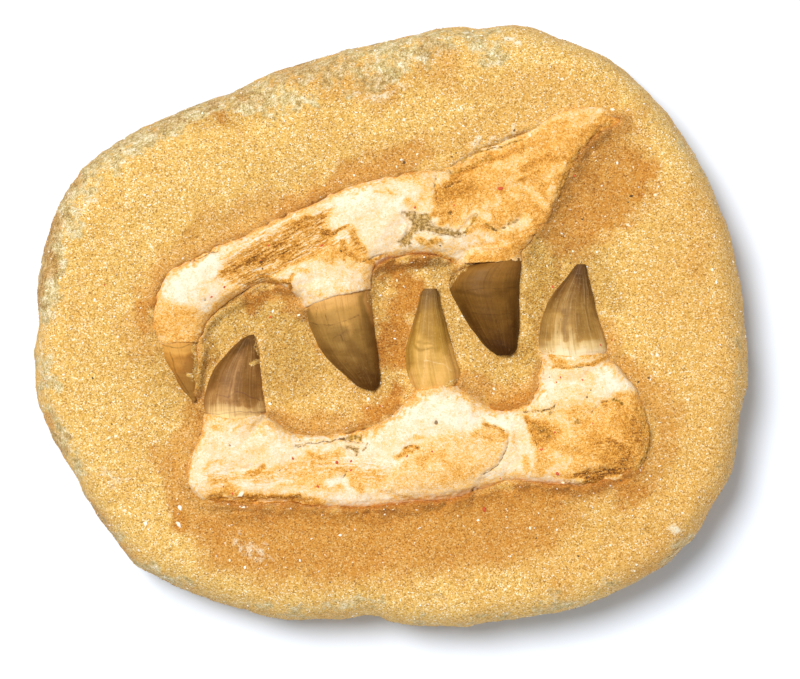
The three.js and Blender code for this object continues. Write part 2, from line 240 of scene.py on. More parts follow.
# Each tooth's two edges from the gum line to the tip, in millimetres of the CAD's drawing.
TOOTH_EDGES = {
    "upper_tooth_front": [
        [[-83.4, -6], [-81.8, -11], [-78.6, -16], [-75, -22], [-72.3, -25], [-70.7, -27]],
        [[-69, -6], [-68.5, -10.5], [-68.5, -16], [-69, -22], [-69.5, -25], [-69.5, -27]],
    ],
    "upper_tooth_middle": [
        [[-32, 8], [-30, 2], [-27.5, -4], [-24.5, -9.5], [-20.5, -14], [-16, -18], [-12, -21.5], [-8, -23]],
        [[-7.5, 13], [-7, 5], [-6, -2.5], [-5, -9.5], [-4.5, -14.5], [-4, -18.5], [-4.5, -21.5], [-6, -23]],
    ],
    "upper_tooth_back": [
        [[29.5, 22.5], [23.4, 19.6], [20.6, 14.8], [23.2, 8.2], [27.3, 1], [30.6, -3.6], [33.6, -7.4],
         [37.6, -10.4]],
        [[46.5, 23], [46, 19], [45.5, 14], [45.5, 7], [45.5, 0.5], [45, -4.5], [44.5, -8.5], [42.5, -10.5]],
    ],
    "lower_tooth_front": [
        [[-44.5, -31], [-45, -29], [-46, -24], [-46.5, -16.5], [-47.3, -9.5], [-48.6, -4.8], [-49, -3]],
        [[-67, -35], [-67, -30], [-66.5, -24.5], [-63.5, -16], [-58.5, -9.5], [-54, -5.2], [-51, -3.4]],
    ],
    "lower_tooth_middle": [
        [[24, -21], [24.5, -17], [22, -8.5], [19.5, 0.5], [17.4, 8], [16.9, 11.5], [16.1, 13.3]],
        [[8, -23], [5.5, -17], [5, -8.5], [7.5, 0.5], [9.5, 8], [10.4, 11.5], [11.6, 13.3]],
    ],
    "lower_tooth_back": [
        [[77, -9.5], [76.5, -6], [74, 1.5], [72.5, 7.5], [71.5, 12.5], [70, 18], [69, 22]],
        [[53.5, -11.5], [52.5, -6], [53.5, 1.5], [55.5, 7.5], [58.5, 12.5], [63, 18], [66, 22]],
    ],
}
TOOTH_ROUNDNESS = 0.8
TOOTH_SIDES = 120
TOOTH_RINGS = 140
ROOT_SHOWN = 1.5  # how far the root goes into the bone
ROOT_WIDTH = 0.97  # the root's width as a share of the crown's
LEVELLING_ROUNDS = 40
LOWER_HALF = 0.8  # the height of a crown's hidden half as a share of the upper one
FACETS = {"lower_tooth_middle": 0.09, "lower_tooth_front": 0.04}  # depth of the flats down a crown
# Fine cracks and scratches in the enamel, in pixels.
TOOTH_CRACKS = {
    "upper_tooth_front": [
        [(158, 340), (166, 346), (178, 348), (190, 345)], [(170, 352), (176, 372), (188, 392)],
    ],
    "upper_tooth_middle": [
        [(309, 322), (320, 325), (332, 325), (345, 321), (359, 315)], [(325, 306), (326, 316), (329, 327)],
        [(318, 306), (316, 318)], [(333, 338), (341, 335), (346, 330)], [(341, 335), (343, 341)],
        [(336, 371), (343, 377)],
    ],
    "upper_tooth_back": [
        [(466, 291), (480, 288), (500, 289), (516, 287)], [(472, 313), (490, 315), (512, 314)],
    ],
    "lower_tooth_front": [
        [(207, 413), (220, 414), (240, 411), (268, 413)],
        [(217, 395), (228, 397), (238, 391), (250, 397), (262, 400)], [(233, 380), (230, 392), (226, 404)],
        [(249, 366), (259, 361)],
    ],
    "lower_tooth_middle": [
        [(424, 361), (436, 362), (446, 366), (452, 371)], [(426, 348), (425, 362), (423, 384)],
    ],
    "lower_tooth_back": [
        [(563, 300), (561, 318), (556, 334)], [(585, 305), (590, 330)],
    ],
}
TOOTH_SAND = [  # sand that still sticks to the teeth
    (0.9, 3.8, [(199, 348), (202, 362), (199, 376)]), (0.7, 1.1, [(188, 375), (197, 377)]),
    (0.8, 1.3, [(252, 364), (257, 361), (261, 360)]), (0.6, 1.2, [(256, 340), (259, 352)]),
    (0.7, 1.3, [(263, 376), (266, 396)]), (0.7, 1.4, [(416, 393), (436, 391), (458, 381)]),
    (0.5, 1.2, [(367, 292), (371, 304)]), (0.5, 1.2, [(302, 300), (306, 308)]),
    (0.5, 1.5, [(543, 350), (550, 354)]), (0.5, 1.5, [(448, 290), (454, 274), (466, 266)]),
]
# Shades of the enamel: above 0 darker, as nearer to the tip, below 0 paler. Some are painted light and shade:
# pale streaks where highlights fall, paler strokes on right-hand flanks that lift their shade, and darker
# strokes down right-hand edges.
TOOTH_SHADES = {
    "upper_tooth_front": [
        (-0.5, 3, [(158, 346), (176, 350), (194, 347)]), (-0.12, 3, [(166, 356), (174, 366), (182, 378)]),
        (0.14, 2.2, [(192, 356), (190, 370), (190, 384)]), (0.1, 1.6, [(166, 366), (176, 384), (190, 396)]),
        (0.12, 3, [(184, 376), (188, 388)]), (0.1, 1.4, [(187, 360), (186, 368)]),
    ],
    "upper_tooth_middle": [
        # the second stroke here is a painted highlight
        (-0.12, 4, [(308, 308), (330, 302), (352, 298)]), (-0.16, 2.4, [(340, 298), (344, 318), (350, 336)]),
        (0.12, 2, [(361, 298), (366, 320), (370, 345)]), (-0.16, 1.8, [(367, 294), (373, 320)]),
        (0.1, 1.6, [(307, 312), (322, 342), (342, 368), (362, 386)]), (-0.08, 3, [(328, 330), (340, 348)]),
        (0.16, 4, [(362, 372), (374, 386)]), (0.1, 2.5, [(352, 345), (366, 362)]),
        (0.03, 4, [(336, 314), (348, 314)]), (0.04, 5, [(325, 332), (342, 334)]),
    ],
    "upper_tooth_back": [
        (-0.22, 2.4, [(454, 284), (462, 272), (480, 266), (504, 263), (520, 265)]),
        (-0.14, 4, [(495, 276), (514, 272)]), (0.14, 1.2, [(456, 289), (480, 296), (500, 294), (517, 288)]),
        (-0.08, 2.5, [(470, 300), (496, 306), (512, 302)]), (0.12, 2, [(512, 300), (514, 330)]),
        (-0.08, 1.4, [(484, 322), (498, 326), (510, 322)]),
        (0.16, 1.8, [(462, 308), (478, 330), (494, 350)]), (0.15, 4, [(496, 344), (508, 352)]),
    ],
    "lower_tooth_front": [
        (-0.3, 2.4, [(205, 422), (236, 421), (262, 418)]),
        (-0.24, 2, [(241, 358), (236, 374), (231, 396), (229, 408)]),
        (-0.14, 4, [(224, 392), (222, 402), (228, 410)]), (-0.1, 1.2, [(216, 378), (213, 396)]),
        (-0.1, 4, [(214, 408), (236, 406), (256, 408)]), (0.14, 1.8, [(238, 388), (246, 394), (252, 402)]),
        (0.1, 2.2, [(252, 342), (257, 360), (258, 372)]),
        (0.2, 1.8, [(208, 396), (216, 376), (230, 356), (246, 340)]),
        (0.14, 1.4, [(240, 374), (238, 392), (240, 408)]), (-0.14, 1.3, [(249, 352), (250, 372)]),
        (-0.16, 2, [(212, 410), (232, 410), (250, 409)]), (0.1, 2.4, [(246, 380), (250, 402)]),
        # the first stroke here lifts the shade on the right-hand flank: painted light
        (-0.2, 2.4, [(255, 364), (259, 384), (262, 406)]), (-0.2, 5, [(212, 398), (216, 406), (224, 410)]),
    ],
    "lower_tooth_middle": [
        (0.5, 4, [(422, 288), (430, 286), (440, 289)]), (-0.3, 1.4, [(430, 318), (428, 345), (424, 384)]),
        (-0.28, 3, [(444, 350), (446, 366), (438, 380)]), (0.16, 1.6, [(441, 306), (448, 332)]),
        (-0.2, 2.6, [(450, 346), (457, 376)]), (0.26, 1.5, [(419, 306), (411, 336), (407, 366), (407, 384)]),
        (0.14, 2, [(436, 318), (438, 336), (436, 350)]), (-0.16, 2, [(418, 336), (414, 360), (414, 380)]),
        (0.2, 0.7, [(413, 346), (420, 350), (436, 349)]), (-0.3, 1.2, [(416, 390), (436, 388), (456, 380)]),
        (0.2, 3, [(411, 332), (409, 350), (409, 362)]), (0.08, 2.5, [(442, 332), (445, 352)]),
        (0.12, 1, [(424, 324), (436, 326)]), (0.12, 0.8, [(418, 343), (436, 345)]),
        (0.2, 4, [(424, 304), (430, 300), (438, 306)]), (0.12, 5, [(428, 322), (432, 334)]),
    ],
    "lower_tooth_back": [
        (-0.16, 3, [(544, 352), (572, 354), (604, 351)]), (-0.12, 3, [(548, 334), (552, 350)]),
        (0.08, 2, [(544, 326), (545, 336)]), (0.08, 4, [(590, 336), (600, 340)]),
        (-0.16, 3, [(557, 316), (557, 332), (560, 346)]), (-0.16, 2.4, [(570, 330), (571, 346)]),
        (-0.1, 3, [(598, 324), (604, 344)]), (-0.14, 3.4, [(584, 346), (598, 346)]),
        (0.12, 1.4, [(564, 312), (564, 340)]), (0.14, 2, [(578, 318), (580, 338)]),
        (0.1, 1.6, [(594, 300), (597, 316)]), (0.14, 1.4, [(549, 306), (560, 292), (570, 272)]),
        (0.14, 4, [(578, 262), (580, 276), (586, 292)]), (-0.12, 1.8, [(568, 292), (562, 306)]),
    ],
}


def gum_level(edge_a, edge_b):
    """The two edge points, led back into the bone by the part of the root that is modelled."""
    middle = (edge_a[0] + edge_b[0]) / 2
    towards = (edge_a[-1] + edge_b[-1]) / 2 - middle
    back = -ROOT_SHOWN * towards / np.linalg.norm(towards)
    return [(p - middle) * ROOT_WIDTH + middle + back for p in (edge_a[0], edge_b[0])]


def middle_level(name, middle, reach, share):
    """The level of a crown's middle line, from the top of the CAD's crown, smoothed."""
    solid = tree_of(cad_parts[name])
    tops = []
    for x, y in middle:
        hit = top_at(solid, x, y)
        tops.append(np.nan if hit is None else hit.z)
    tops = np.array(tops)
    found = ~np.isnan(tops)
    level = np.interp(share, share[found], (tops - reach * TOOTH_ROUNDNESS)[found])
    for _ in range(LEVELLING_ROUNDS):
        level[1:-1] = (level[:-2] + level[1:-1] + level[2:]) / 3
    return level


def crown_faces(share):
    """Faces over a crown's rings and its two ends, which two last points close, and their corners' UVs."""
    last = (len(share) - 1) * TOOTH_SIDES
    root, tip = last + TOOTH_SIDES, last + TOOTH_SIDES + 1
    faces, uvs = [], []
    for r in range(len(share) - 1):
        for s in range(TOOTH_SIDES):
            n = (s + 1) % TOOTH_SIDES
            near, far = r * TOOTH_SIDES, (r + 1) * TOOTH_SIDES
            faces.append([near + s, near + n, far + n, far + s])
            uvs += [(s / TOOTH_SIDES, share[r]), ((s + 1) / TOOTH_SIDES, share[r]),
                    ((s + 1) / TOOTH_SIDES, share[r + 1]), (s / TOOTH_SIDES, share[r + 1])]
    for s in range(TOOTH_SIDES):
        n = (s + 1) % TOOTH_SIDES
        faces.append([s, root, n])
        uvs += [(s / TOOTH_SIDES, 0), ((s + 0.5) / TOOTH_SIDES, 0), ((s + 1) / TOOTH_SIDES, 0)]
        faces.append([last + s, last + n, tip])
        uvs += [(s / TOOTH_SIDES, 1), ((s + 1) / TOOTH_SIDES, 1), ((s + 0.5) / TOOTH_SIDES, 1)]
    return faces, uvs


def crown(name):
    """A closed tooth between its two edges, with UVs round it (x) and along it (y)."""
    edge_a, edge_b = (np.array(edge) + DRAWING_SHIFT for edge in TOOTH_EDGES[name])
    root_a, root_b = gum_level(edge_a, edge_b)
    share = np.linspace(0, 1, TOOTH_RINGS - 1) ** 0.9
    share = 1 - (1 - share) ** 1.15  # the rings lie closer together towards the tip
    a = curve_through(np.vstack([root_a, edge_a]), share)
    b = curve_through(np.vstack([root_b, edge_b]), share)
    middle, half = (a + b) / 2, (a - b) / 2
    reach = np.linalg.norm(half, axis=1)
    level = middle_level(name, middle, reach, share)
    angle = np.linspace(0, 2 * math.pi, TOOTH_SIDES, endpoint=False)
    flats = 1 - FACETS.get(name, 0.012) * (1 - np.abs(np.cos(2.5 * angle + 0.6)))
    keel = 1 + 0.02 * np.exp(-(np.sin(angle) / 0.12) ** 2)  # the cutting edges at the two sides
    across = np.cos(angle) * keel * flats
    up = np.sin(angle) * flats
    up = np.where(up < 0, up * LOWER_HALF, up)
    rings = middle[:, None, :] + half[:, None, :] * across[None, :, None]
    height = level[:, None] + (reach * TOOTH_ROUNDNESS)[:, None] * up[None, :]
    skin = np.concatenate([rings, height[..., None]], axis=2)

    # Growth lines and small dents in the enamel, and a rough break at the tip.
    flat_skin = skin.reshape(-1, 3)
    along = np.repeat(share, TOOTH_SIDES)
    dents = 0.1 * lumps(flat_skin, 5, 2) + 0.04 * np.sin(46 * along + 3 * lumps(flat_skin, 14, 7))
    sideways = (half / reach[:, None])[:, None, :] * across[None, :, None]
    upwards = np.broadcast_to(up[None, :, None], (len(share), TOOTH_SIDES, 1))
    outwards = np.concatenate([sideways, upwards], 2).reshape(-1, 3)
    chip = 0.35 * lumps(flat_skin, 1.6, 11) * smooth((along - 0.93) / 0.07)
    flat_skin = flat_skin + outwards * (dents + np.minimum(chip, 0.1))[:, None]

    ends = [np.append(middle[0], level[0]), np.append(middle[-1], level[-1])]
    points = np.vstack([flat_skin, ends])
    faces, uvs = crown_faces(share)
    above = points[:, 2] > np.append(np.repeat(level, TOOTH_SIDES), [ABOVE_ALL] * len(ends))
    astray = points[:, :2] + wander(points, 0.25)
    cracks = np.where(above, crack_distance(astray, TOOTH_CRACKS[name]), NO_CRACK)
    shade = painted(points, TOOTH_SHADES[name], 0.7, 5)
    shares = {"crack": cracks, "shade": shade, "sandy": painted(points, TOOTH_SAND, 0.7, 7)}
    piece = new_piece("dressed_" + name, points, faces, shares, name)
    layer = piece.data.uv_layers.new(name="along_tooth")
    layer.data.foreach_set("uv", np.array(uvs, np.float32).ravel())
    return piece


# Bones

BONE_VOXEL = 0.5
FOOT_LEVEL = 39.0
PLUG_TOP = 0.3  # how far below the gum line the roots that close the sockets end
PLUG_SWELL = 1.09  # they are swollen by this much to fill them
SOFTENING_ROUNDS = 16
BARE_TONE = 0.17  # the bone's tone where no stroke lies
SKIRT_WIDTH = 2.8  # how far in from its foot, seen from above, the bone is gritty
STUCK_LEVEL = 40.3  # the sand that sticks to the bone's foot reaches up to here
STUCK_FADE = 1.6
CRACK_DEPTH = 0.5
CRACK_WIDTH = 0.5
# Layers of unevenness: the height, size and seed of each.
SKIRT_EDGE = [(0.6, 2.2, 33), (0.6, 9, 34), (0.9, 1.1, 35)]
STUCK_EDGE = [(1.3, 2.2, 31), (0.9, 6, 32)]
BONE_RELIEF = [(0.2, 8, 1), (0.12, 2.6, 4), (0.08, 1.3, 5)]
SANDY_RELIEF = [(0.26, 1.4, 9), (0.34, 3.2, 10)]
FIBRE_RUN = {"upper": math.radians(26), "lower": math.radians(4)}  # the way each bone's fibres run

# Tone of the bone: 0 cream, 0.5 pale orange, 0.9 sandy, 1.4 brown, 2 dark brown.
TONE = {
    "upper_jaw": [
        (0, 6, [(176, 292), (192, 276), (210, 264)]), (0.06, 6, [(330, 200), (370, 190), (400, 200)]),
        # the front end: orange below, with a sandy edge
        (0.62, 2, [(150, 300), (168, 299), (186, 305), (200, 309), (207, 318), (214, 316), (207, 335),
                   (200, 348), (178, 350), (160, 345), (148, 325), (150, 300)]),
        (0.75, 2, [(152, 322), (175, 335), (196, 338)]), (0.85, 2.5, [(150, 305), (150, 320), (154, 336)]),
        (0.6, 2.2, [(172, 262), (161, 275), (155, 292)]), (0.55, 2, [(217, 303), (228, 296), (240, 291)]),
        (0.9, 2, [(205, 330), (212, 318), (226, 307), (246, 297)]), (0.5, 1.6, [(204, 316), (214, 309)]),
        (0.3, 3, [(250, 284), (232, 292), (222, 300)]),
        (0.55, 2.6, [(206, 318), (216, 308), (230, 297), (248, 289)]),
        # the strip above the worn patch
        (0.4, 2, [(222, 258), (240, 250), (262, 240), (290, 222)]),
        (0.55, 1.2, [(218, 243), (252, 232), (300, 208)]),
        # the worn patches
        (0.76, 2, [(217, 281), (224, 266), (236, 256), (252, 243), (270, 233), (284, 223), (298, 218),
                   (318, 212), (334, 208), (328, 218), (323, 228), (336, 232), (331, 244), (316, 257),
                   (300, 262), (284, 272), (268, 283), (250, 289), (236, 286), (217, 281)]),
        (1.15, 2.4, [(246, 262), (262, 254), (282, 240), (296, 226)]), (1.1, 2, [(262, 262), (300, 246)]),
        (1.05, 1.4, [(222, 278), (240, 268)]), (0.5, 1.4, [(255, 272), (280, 262)]),
        (1.05, 1.6, [(300, 222), (322, 216)]), (0.85, 1.6, [(268, 283), (290, 284), (295, 276)]),
        (1.3, 0.9, [(283, 285), (288, 286), (293, 290)]),
        (0.66, 2, [(330, 244), (341, 229), (352, 228), (361, 240), (368, 250), (371, 260), (356, 263),
                   (338, 262), (324, 266), (318, 258), (330, 244)]),
        (0.25, 1.6, [(336, 240), (346, 233), (350, 240)]), (0.95, 1.5, [(355, 232), (357, 240), (366, 252)]),
        (0.95, 2, [(342, 242), (344, 250), (354, 257)]), (1.2, 0.8, [(330, 236), (338, 230), (349, 226)]),
        (1.2, 1, [(322, 230), (330, 234), (336, 233)]), (0.95, 1.2, [(345, 262), (372, 261)]),
        (0.95, 0.9, [(372, 259), (383, 255)]), (0.8, 1.2, [(370, 262), (374, 268)]),
        # the bone round the middle tooth
        (0.4, 3, [(350, 266), (368, 270), (366, 284)]), (0.5, 1.4, [(296, 268), (308, 272)]),
        (0.25, 4, [(320, 270), (345, 280)]),
        # the cream middle
        (0.42, 3.5, [(405, 178), (430, 182), (425, 200)]), (0.3, 3, [(376, 190), (395, 193)]),
        (0.55, 2.2, [(405, 203), (416, 208)]), (0.7, 0.6, [(386, 190), (391, 195)]),
        (0.7, 0.5, [(374, 193), (384, 192)]), (0.6, 1.2, [(410, 178), (420, 176)]),
        (0.5, 1.4, [(385, 255), (410, 251)]), (0.45, 1.2, [(310, 206), (345, 190)]),
        # the rear piece
        (0.69, 2.5, [(436, 186), (446, 178), (452, 166), (480, 150), (520, 137), (545, 124), (566, 112),
                     (604, 106), (626, 116), (600, 140), (580, 160), (566, 185), (552, 222), (534, 240),
                     (518, 248), (496, 236), (470, 226), (448, 224), (430, 212), (436, 186)]),
        (1.05, 2, [(437, 206), (438, 190), (450, 183), (470, 180), (484, 188), (470, 196), (452, 200),
                   (437, 206)]),
        (1.1, 1.6, [(446, 184), (460, 179)]), (1, 2, [(452, 176), (470, 168), (496, 158), (522, 150)]),
        (0.88, 2, [(432, 215), (450, 212), (440, 224)]),
        (0.3, 1.8, [(462, 214), (468, 222), (474, 214), (486, 218)]),
        (0.5, 3, [(500, 166), (520, 162), (512, 186), (548, 192)]),
        (0.95, 2, [(522, 168), (548, 158), (566, 166)]), (0.7, 2.5, [(500, 210), (530, 200), (545, 186)]),
        (0.12, 1.6, [(452, 165), (472, 150), (500, 142), (516, 134)]), (0, 1.6, [(470, 149), (492, 143)]),
        (0.1, 1.8, [(500, 136), (520, 130), (534, 125)]), (0.12, 2.4, [(562, 114), (580, 111), (598, 112)]),
        (0.15, 1.2, [(590, 115), (597, 113)]), (0.55, 4, [(572, 122), (592, 124)]),
        (0.85, 2.2, [(586, 132), (612, 118), (622, 116)]),
        # a darker band down the rear piece's lower-right flank: brown stain and painted shade
        (0.85, 6, [(614, 122), (590, 140), (570, 160), (560, 184), (550, 206), (538, 226)]),
        (0.85, 3, [(582, 142), (566, 158), (560, 176)]), (0.48, 2.4, [(552, 190), (558, 206)]),
        (0.8, 2.5, [(536, 216), (550, 206)]), (0.3, 3, [(504, 228), (526, 222)]),
        (0.5, 2.6, [(546, 178), (560, 168)]), (0.45, 2, [(484, 208), (500, 200)]),
        (0.5, 2.4, [(534, 194), (544, 206)]), (0.95, 1.6, [(520, 180), (536, 172)]),
        (0.75, 1.4, [(466, 231), (478, 228)]), (0.5, 1.8, [(508, 188), (520, 198)]),
        # the lower lip
        (0.42, 3.2, [(396, 258), (430, 251), (460, 248), (482, 240)]), (0.2, 2.2, [(462, 244), (474, 241)]),
        (0.75, 1.6, [(420, 240), (430, 244), (438, 240)]), (0.5, 2, [(480, 246), (500, 244)]),
        (0.85, 2, [(500, 252), (516, 246), (530, 236)]), (0.75, 4, [(474, 262), (500, 256), (524, 250)]),
        (0.8, 1.5, [(408, 258), (440, 256), (456, 262)]),
    ],
    "lower_jaw": [
        (0.5, 1.8, [(188, 462), (182, 476), (190, 490)]), (0.35, 2.5, [(212, 424), (222, 428)]),
        (0.6, 1.2, [(212, 426), (220, 427)]), (0.55, 1, [(236, 428), (244, 426)]),
        (0.5, 1.6, [(250, 423), (258, 422)]), (0.25, 4, [(215, 445), (235, 460), (262, 450)]),
        (0.35, 1.6, [(200, 432), (196, 450)]), (0.45, 0.8, [(206, 468), (214, 462), (224, 460)]),
        (0.5, 0.7, [(222, 464), (236, 461)]), (0.5, 2, [(212, 478), (240, 478), (252, 472)]),
        (0.5, 3, [(258, 478), (300, 462), (340, 452)]),
        (0.55, 2.5, [(310, 452), (350, 462), (390, 474), (384, 494), (350, 488), (310, 490), (262, 488),
                     (290, 470), (310, 452)]),
        (0.85, 1.4, [(244, 474), (254, 471), (264, 467)]), (0.7, 1.6, [(308, 452), (324, 460)]),
        (0.65, 1, [(212, 484), (236, 482)]), (0.2, 1.5, [(258, 484), (290, 482)]),
        (0.75, 1.6, [(372, 470), (380, 478)]), (0.75, 1.5, [(350, 484), (362, 490)]),
        (0.7, 1.4, [(330, 484), (344, 486)]),
        (0.82, 1.8, [(208, 490), (232, 488), (250, 492), (300, 495), (326, 498), (322, 511), (262, 510),
                     (222, 507), (206, 500), (208, 490)]),
        (1.25, 1.3, [(212, 500), (226, 498)]), (1.2, 1.4, [(250, 496), (276, 497), (300, 497)]),
        (1.2, 0.8, [(222, 505), (246, 505)]), (0.35, 0.9, [(224, 497), (232, 498)]),
        (1.15, 1.2, [(268, 504), (300, 506)]), (0.55, 1, [(262, 502), (290, 501)]),
        (0.08, 2.5, [(330, 482), (344, 480), (354, 500), (332, 508)]),
        (0.6, 1.2, [(338, 508), (400, 505), (440, 503)]), (0.12, 5, [(300, 440), (340, 430), (380, 420)]),
        (0.02, 7, [(400, 414), (430, 406), (470, 420), (500, 420)]),
        (0.3, 1.3, [(207, 420), (236, 421), (258, 419)]), (0.35, 1.4, [(548, 361), (580, 362), (604, 360)]),
        (0.5, 1.6, [(462, 392), (472, 400), (474, 408)]), (0.45, 1.4, [(424, 392), (440, 391)]),
        (0.55, 0.8, [(414, 436), (424, 438)]),
        # the pale orange fragment under the middle tooth
        (0.45, 2, [(412, 452), (430, 440), (452, 431), (470, 431), (486, 424), (500, 429), (509, 434),
                   (505, 450), (500, 460), (492, 468), (480, 475), (470, 487), (452, 498), (420, 500),
                   (396, 500), (386, 490), (392, 470), (400, 460), (412, 452)]),
        (0.85, 1.6, [(396, 456), (404, 450), (414, 451)]), (0.95, 0.8, [(404, 447), (412, 445), (420, 448)]),
        (0.7, 2, [(476, 433), (490, 438), (503, 436)]), (0.85, 1.2, [(487, 425), (500, 430), (507, 435)]),
        (0.65, 3, [(420, 462), (440, 456), (460, 470)]), (0.35, 2.5, [(400, 488), (430, 492), (462, 488)]),
        (0.65, 2.5, [(440, 478), (470, 470)]), (0.2, 2, [(520, 432), (524, 452), (514, 470)]),
        (0.42, 2, [(478, 484), (510, 476), (534, 470)]), (0.4, 1.4, [(512, 436), (514, 446)]),
        # the rear block
        (0.65, 1.6, [(523, 412), (552, 408), (572, 402), (600, 398), (618, 392), (640, 392), (652, 410),
                     (655, 445), (645, 468), (628, 482), (570, 487), (538, 482), (534, 456), (530, 436),
                     (523, 412)]),
        (0.3, 4, [(562, 374), (584, 374), (590, 392), (566, 396)]), (0.35, 3, [(556, 404), (596, 400)]),
        (0.6, 2.5, [(560, 414), (590, 412), (606, 414)]),
        (1.1, 1.6, [(526, 416), (546, 418), (552, 438), (540, 446), (532, 432), (526, 416)]),
        (0.95, 2.2, [(552, 430), (566, 428)]), (0.75, 2, [(556, 452), (580, 450)]),
        (0.85, 2.4, [(590, 436), (606, 428)]),
        (0.9, 2.5, [(586, 440), (610, 424), (634, 400), (650, 420), (650, 452), (632, 470), (604, 466),
                    (586, 440)]),
        (1.3, 2.6, [(612, 442), (628, 450), (620, 462)]), (1.15, 2.2, [(634, 420), (640, 440)]),
        (0.7, 1.8, [(600, 422), (618, 432)]), (0.8, 2, [(618, 406), (612, 418)]),
        (1, 1, [(602, 402), (606, 404)]),
        (1.5, 1.6, [(574, 476), (590, 472), (616, 471), (604, 478), (584, 480)]),
        (1.15, 1.4, [(616, 470), (634, 468)]), (0.42, 3, [(534, 412), (560, 418), (568, 432)]),
        (0.35, 2.6, [(556, 456), (568, 460), (552, 472)]), (1.1, 1.5, [(527, 419), (536, 421)]),
        (0.62, 2.4, [(600, 430), (618, 436)]), (0.55, 2, [(524, 458), (528, 470)]),
        (1.05, 2, [(604, 458), (612, 462)]), (0.95, 1.8, [(588, 470), (600, 468)]),
        (0.35, 1, [(604, 480), (622, 478)]), (0.3, 0.9, [(562, 482), (570, 483)]),
        # the first stroke here pales the rear block's lower edge, which faces away from the light: painted
        # light
        (0.2, 2.2, [(516, 482), (545, 480), (574, 483)]), (0.05, 3, [(548, 380), (546, 396)]),
        (0.05, 3.5, [(604, 372), (620, 384)]), (0.75, 2.4, [(546, 350), (552, 360), (560, 363)]),
        (0.1, 2, [(562, 355), (578, 356)]), (0.6, 2, [(584, 356), (604, 354)]),
        (0.9, 0.9, [(552, 367), (574, 367), (590, 365), (604, 358)]),
    ],
}
WORN = {  # brown fibrous patches where the bone's skin is gone
    "upper_jaw": [
        (1, 2.4, [(217, 281), (224, 264), (236, 252), (252, 240), (270, 231), (284, 222), (298, 217),
                  (318, 211), (336, 206), (328, 218), (323, 228), (338, 232), (331, 246), (316, 258),
                  (300, 263), (284, 273), (268, 284), (250, 290), (236, 287), (217, 281)]),
        (0.6, 3, [(222, 254), (250, 240), (290, 218)]), (0.8, 2.5, [(335, 245), (350, 236), (362, 252)]),
        (0.3, 3, [(454, 182), (490, 160)]),
    ],
    "lower_jaw": [
        (0.55, 5, [(210, 476), (260, 478), (330, 462), (380, 470)]),
        (0.45, 3, [(212, 500), (260, 500), (310, 503)]), (0.4, 5, [(600, 450), (640, 440)]),
        (0.4, 2, [(300, 440), (350, 436)]), (0.6, 2.5, [(574, 476), (620, 472)]),
    ],
}
SCORED = {  # fragments with scratches across the bone
    "upper_jaw": [],
    "lower_jaw": [
        (1, 3, [(412, 452), (452, 431), (486, 424), (509, 434), (500, 460), (480, 475), (452, 498),
                (396, 500), (386, 490), (412, 452)]),
        (0.7, 3, [(526, 416), (552, 416), (556, 446), (534, 444), (526, 416)]),
    ],
}
SCORED_RUN = math.radians(68)
GREY = {  # grey glue and stained matrix in the mended breaks
    "upper_jaw": [
        (0.8, 1.1, [(400, 211), (412, 213), (428, 216), (431, 223), (446, 228), (462, 231), (465, 235),
                    (454, 238), (438, 234), (424, 230), (414, 233), (410, 245), (402, 247), (395, 242),
                    (402, 237), (409, 228), (407, 219), (400, 211)]),
        (0.7, 0.9, [(464, 232), (472, 224), (474, 214)]), (0.65, 0.9, [(484, 226), (494, 231), (504, 228)]),
        (0.7, 1, [(508, 225), (518, 220)]), (0.7, 0.8, [(462, 160), (480, 153), (500, 146), (520, 139)]),
        (0.5, 1.5, [(446, 172), (466, 166), (490, 158)]), (0.4, 2, [(420, 243), (432, 240), (440, 243)]),
        (0.4, 3, [(610, 124), (586, 146), (566, 174), (554, 204)]), (0.35, 1.4, [(434, 170), (446, 170)]),
        (0.35, 1.5, [(322, 262), (332, 260)]),
    ],
    "lower_jaw": [
        (0.85, 0.8, [(338, 438), (350, 436), (361, 434), (362, 441), (352, 441), (338, 438)]),
        (0.7, 1.2, [(347, 448), (356, 450), (354, 456)]), (0.8, 0.7, [(367, 443), (366, 449), (362, 452)]),
        (0.6, 0.8, [(524, 411), (546, 411), (556, 405), (550, 414)]),
        (0.8, 0.9, [(574, 423), (580, 420), (581, 427), (574, 423)]),
        (0.8, 1.2, [(613, 398), (620, 399), (622, 404)]), (0.55, 1.6, [(646, 446), (640, 464), (626, 479)]),
        (0.5, 1.4, [(566, 481), (590, 484), (606, 482)]), (0.35, 2, [(530, 426), (548, 432)]),
        (0.4, 1.2, [(212, 503), (250, 506)]), (0.5, 0.7, [(296, 446), (308, 443)]),
        (0.6, 0.8, [(472, 488), (474, 494)]), (0.35, 3, [(640, 412), (646, 430)]),
    ],
}
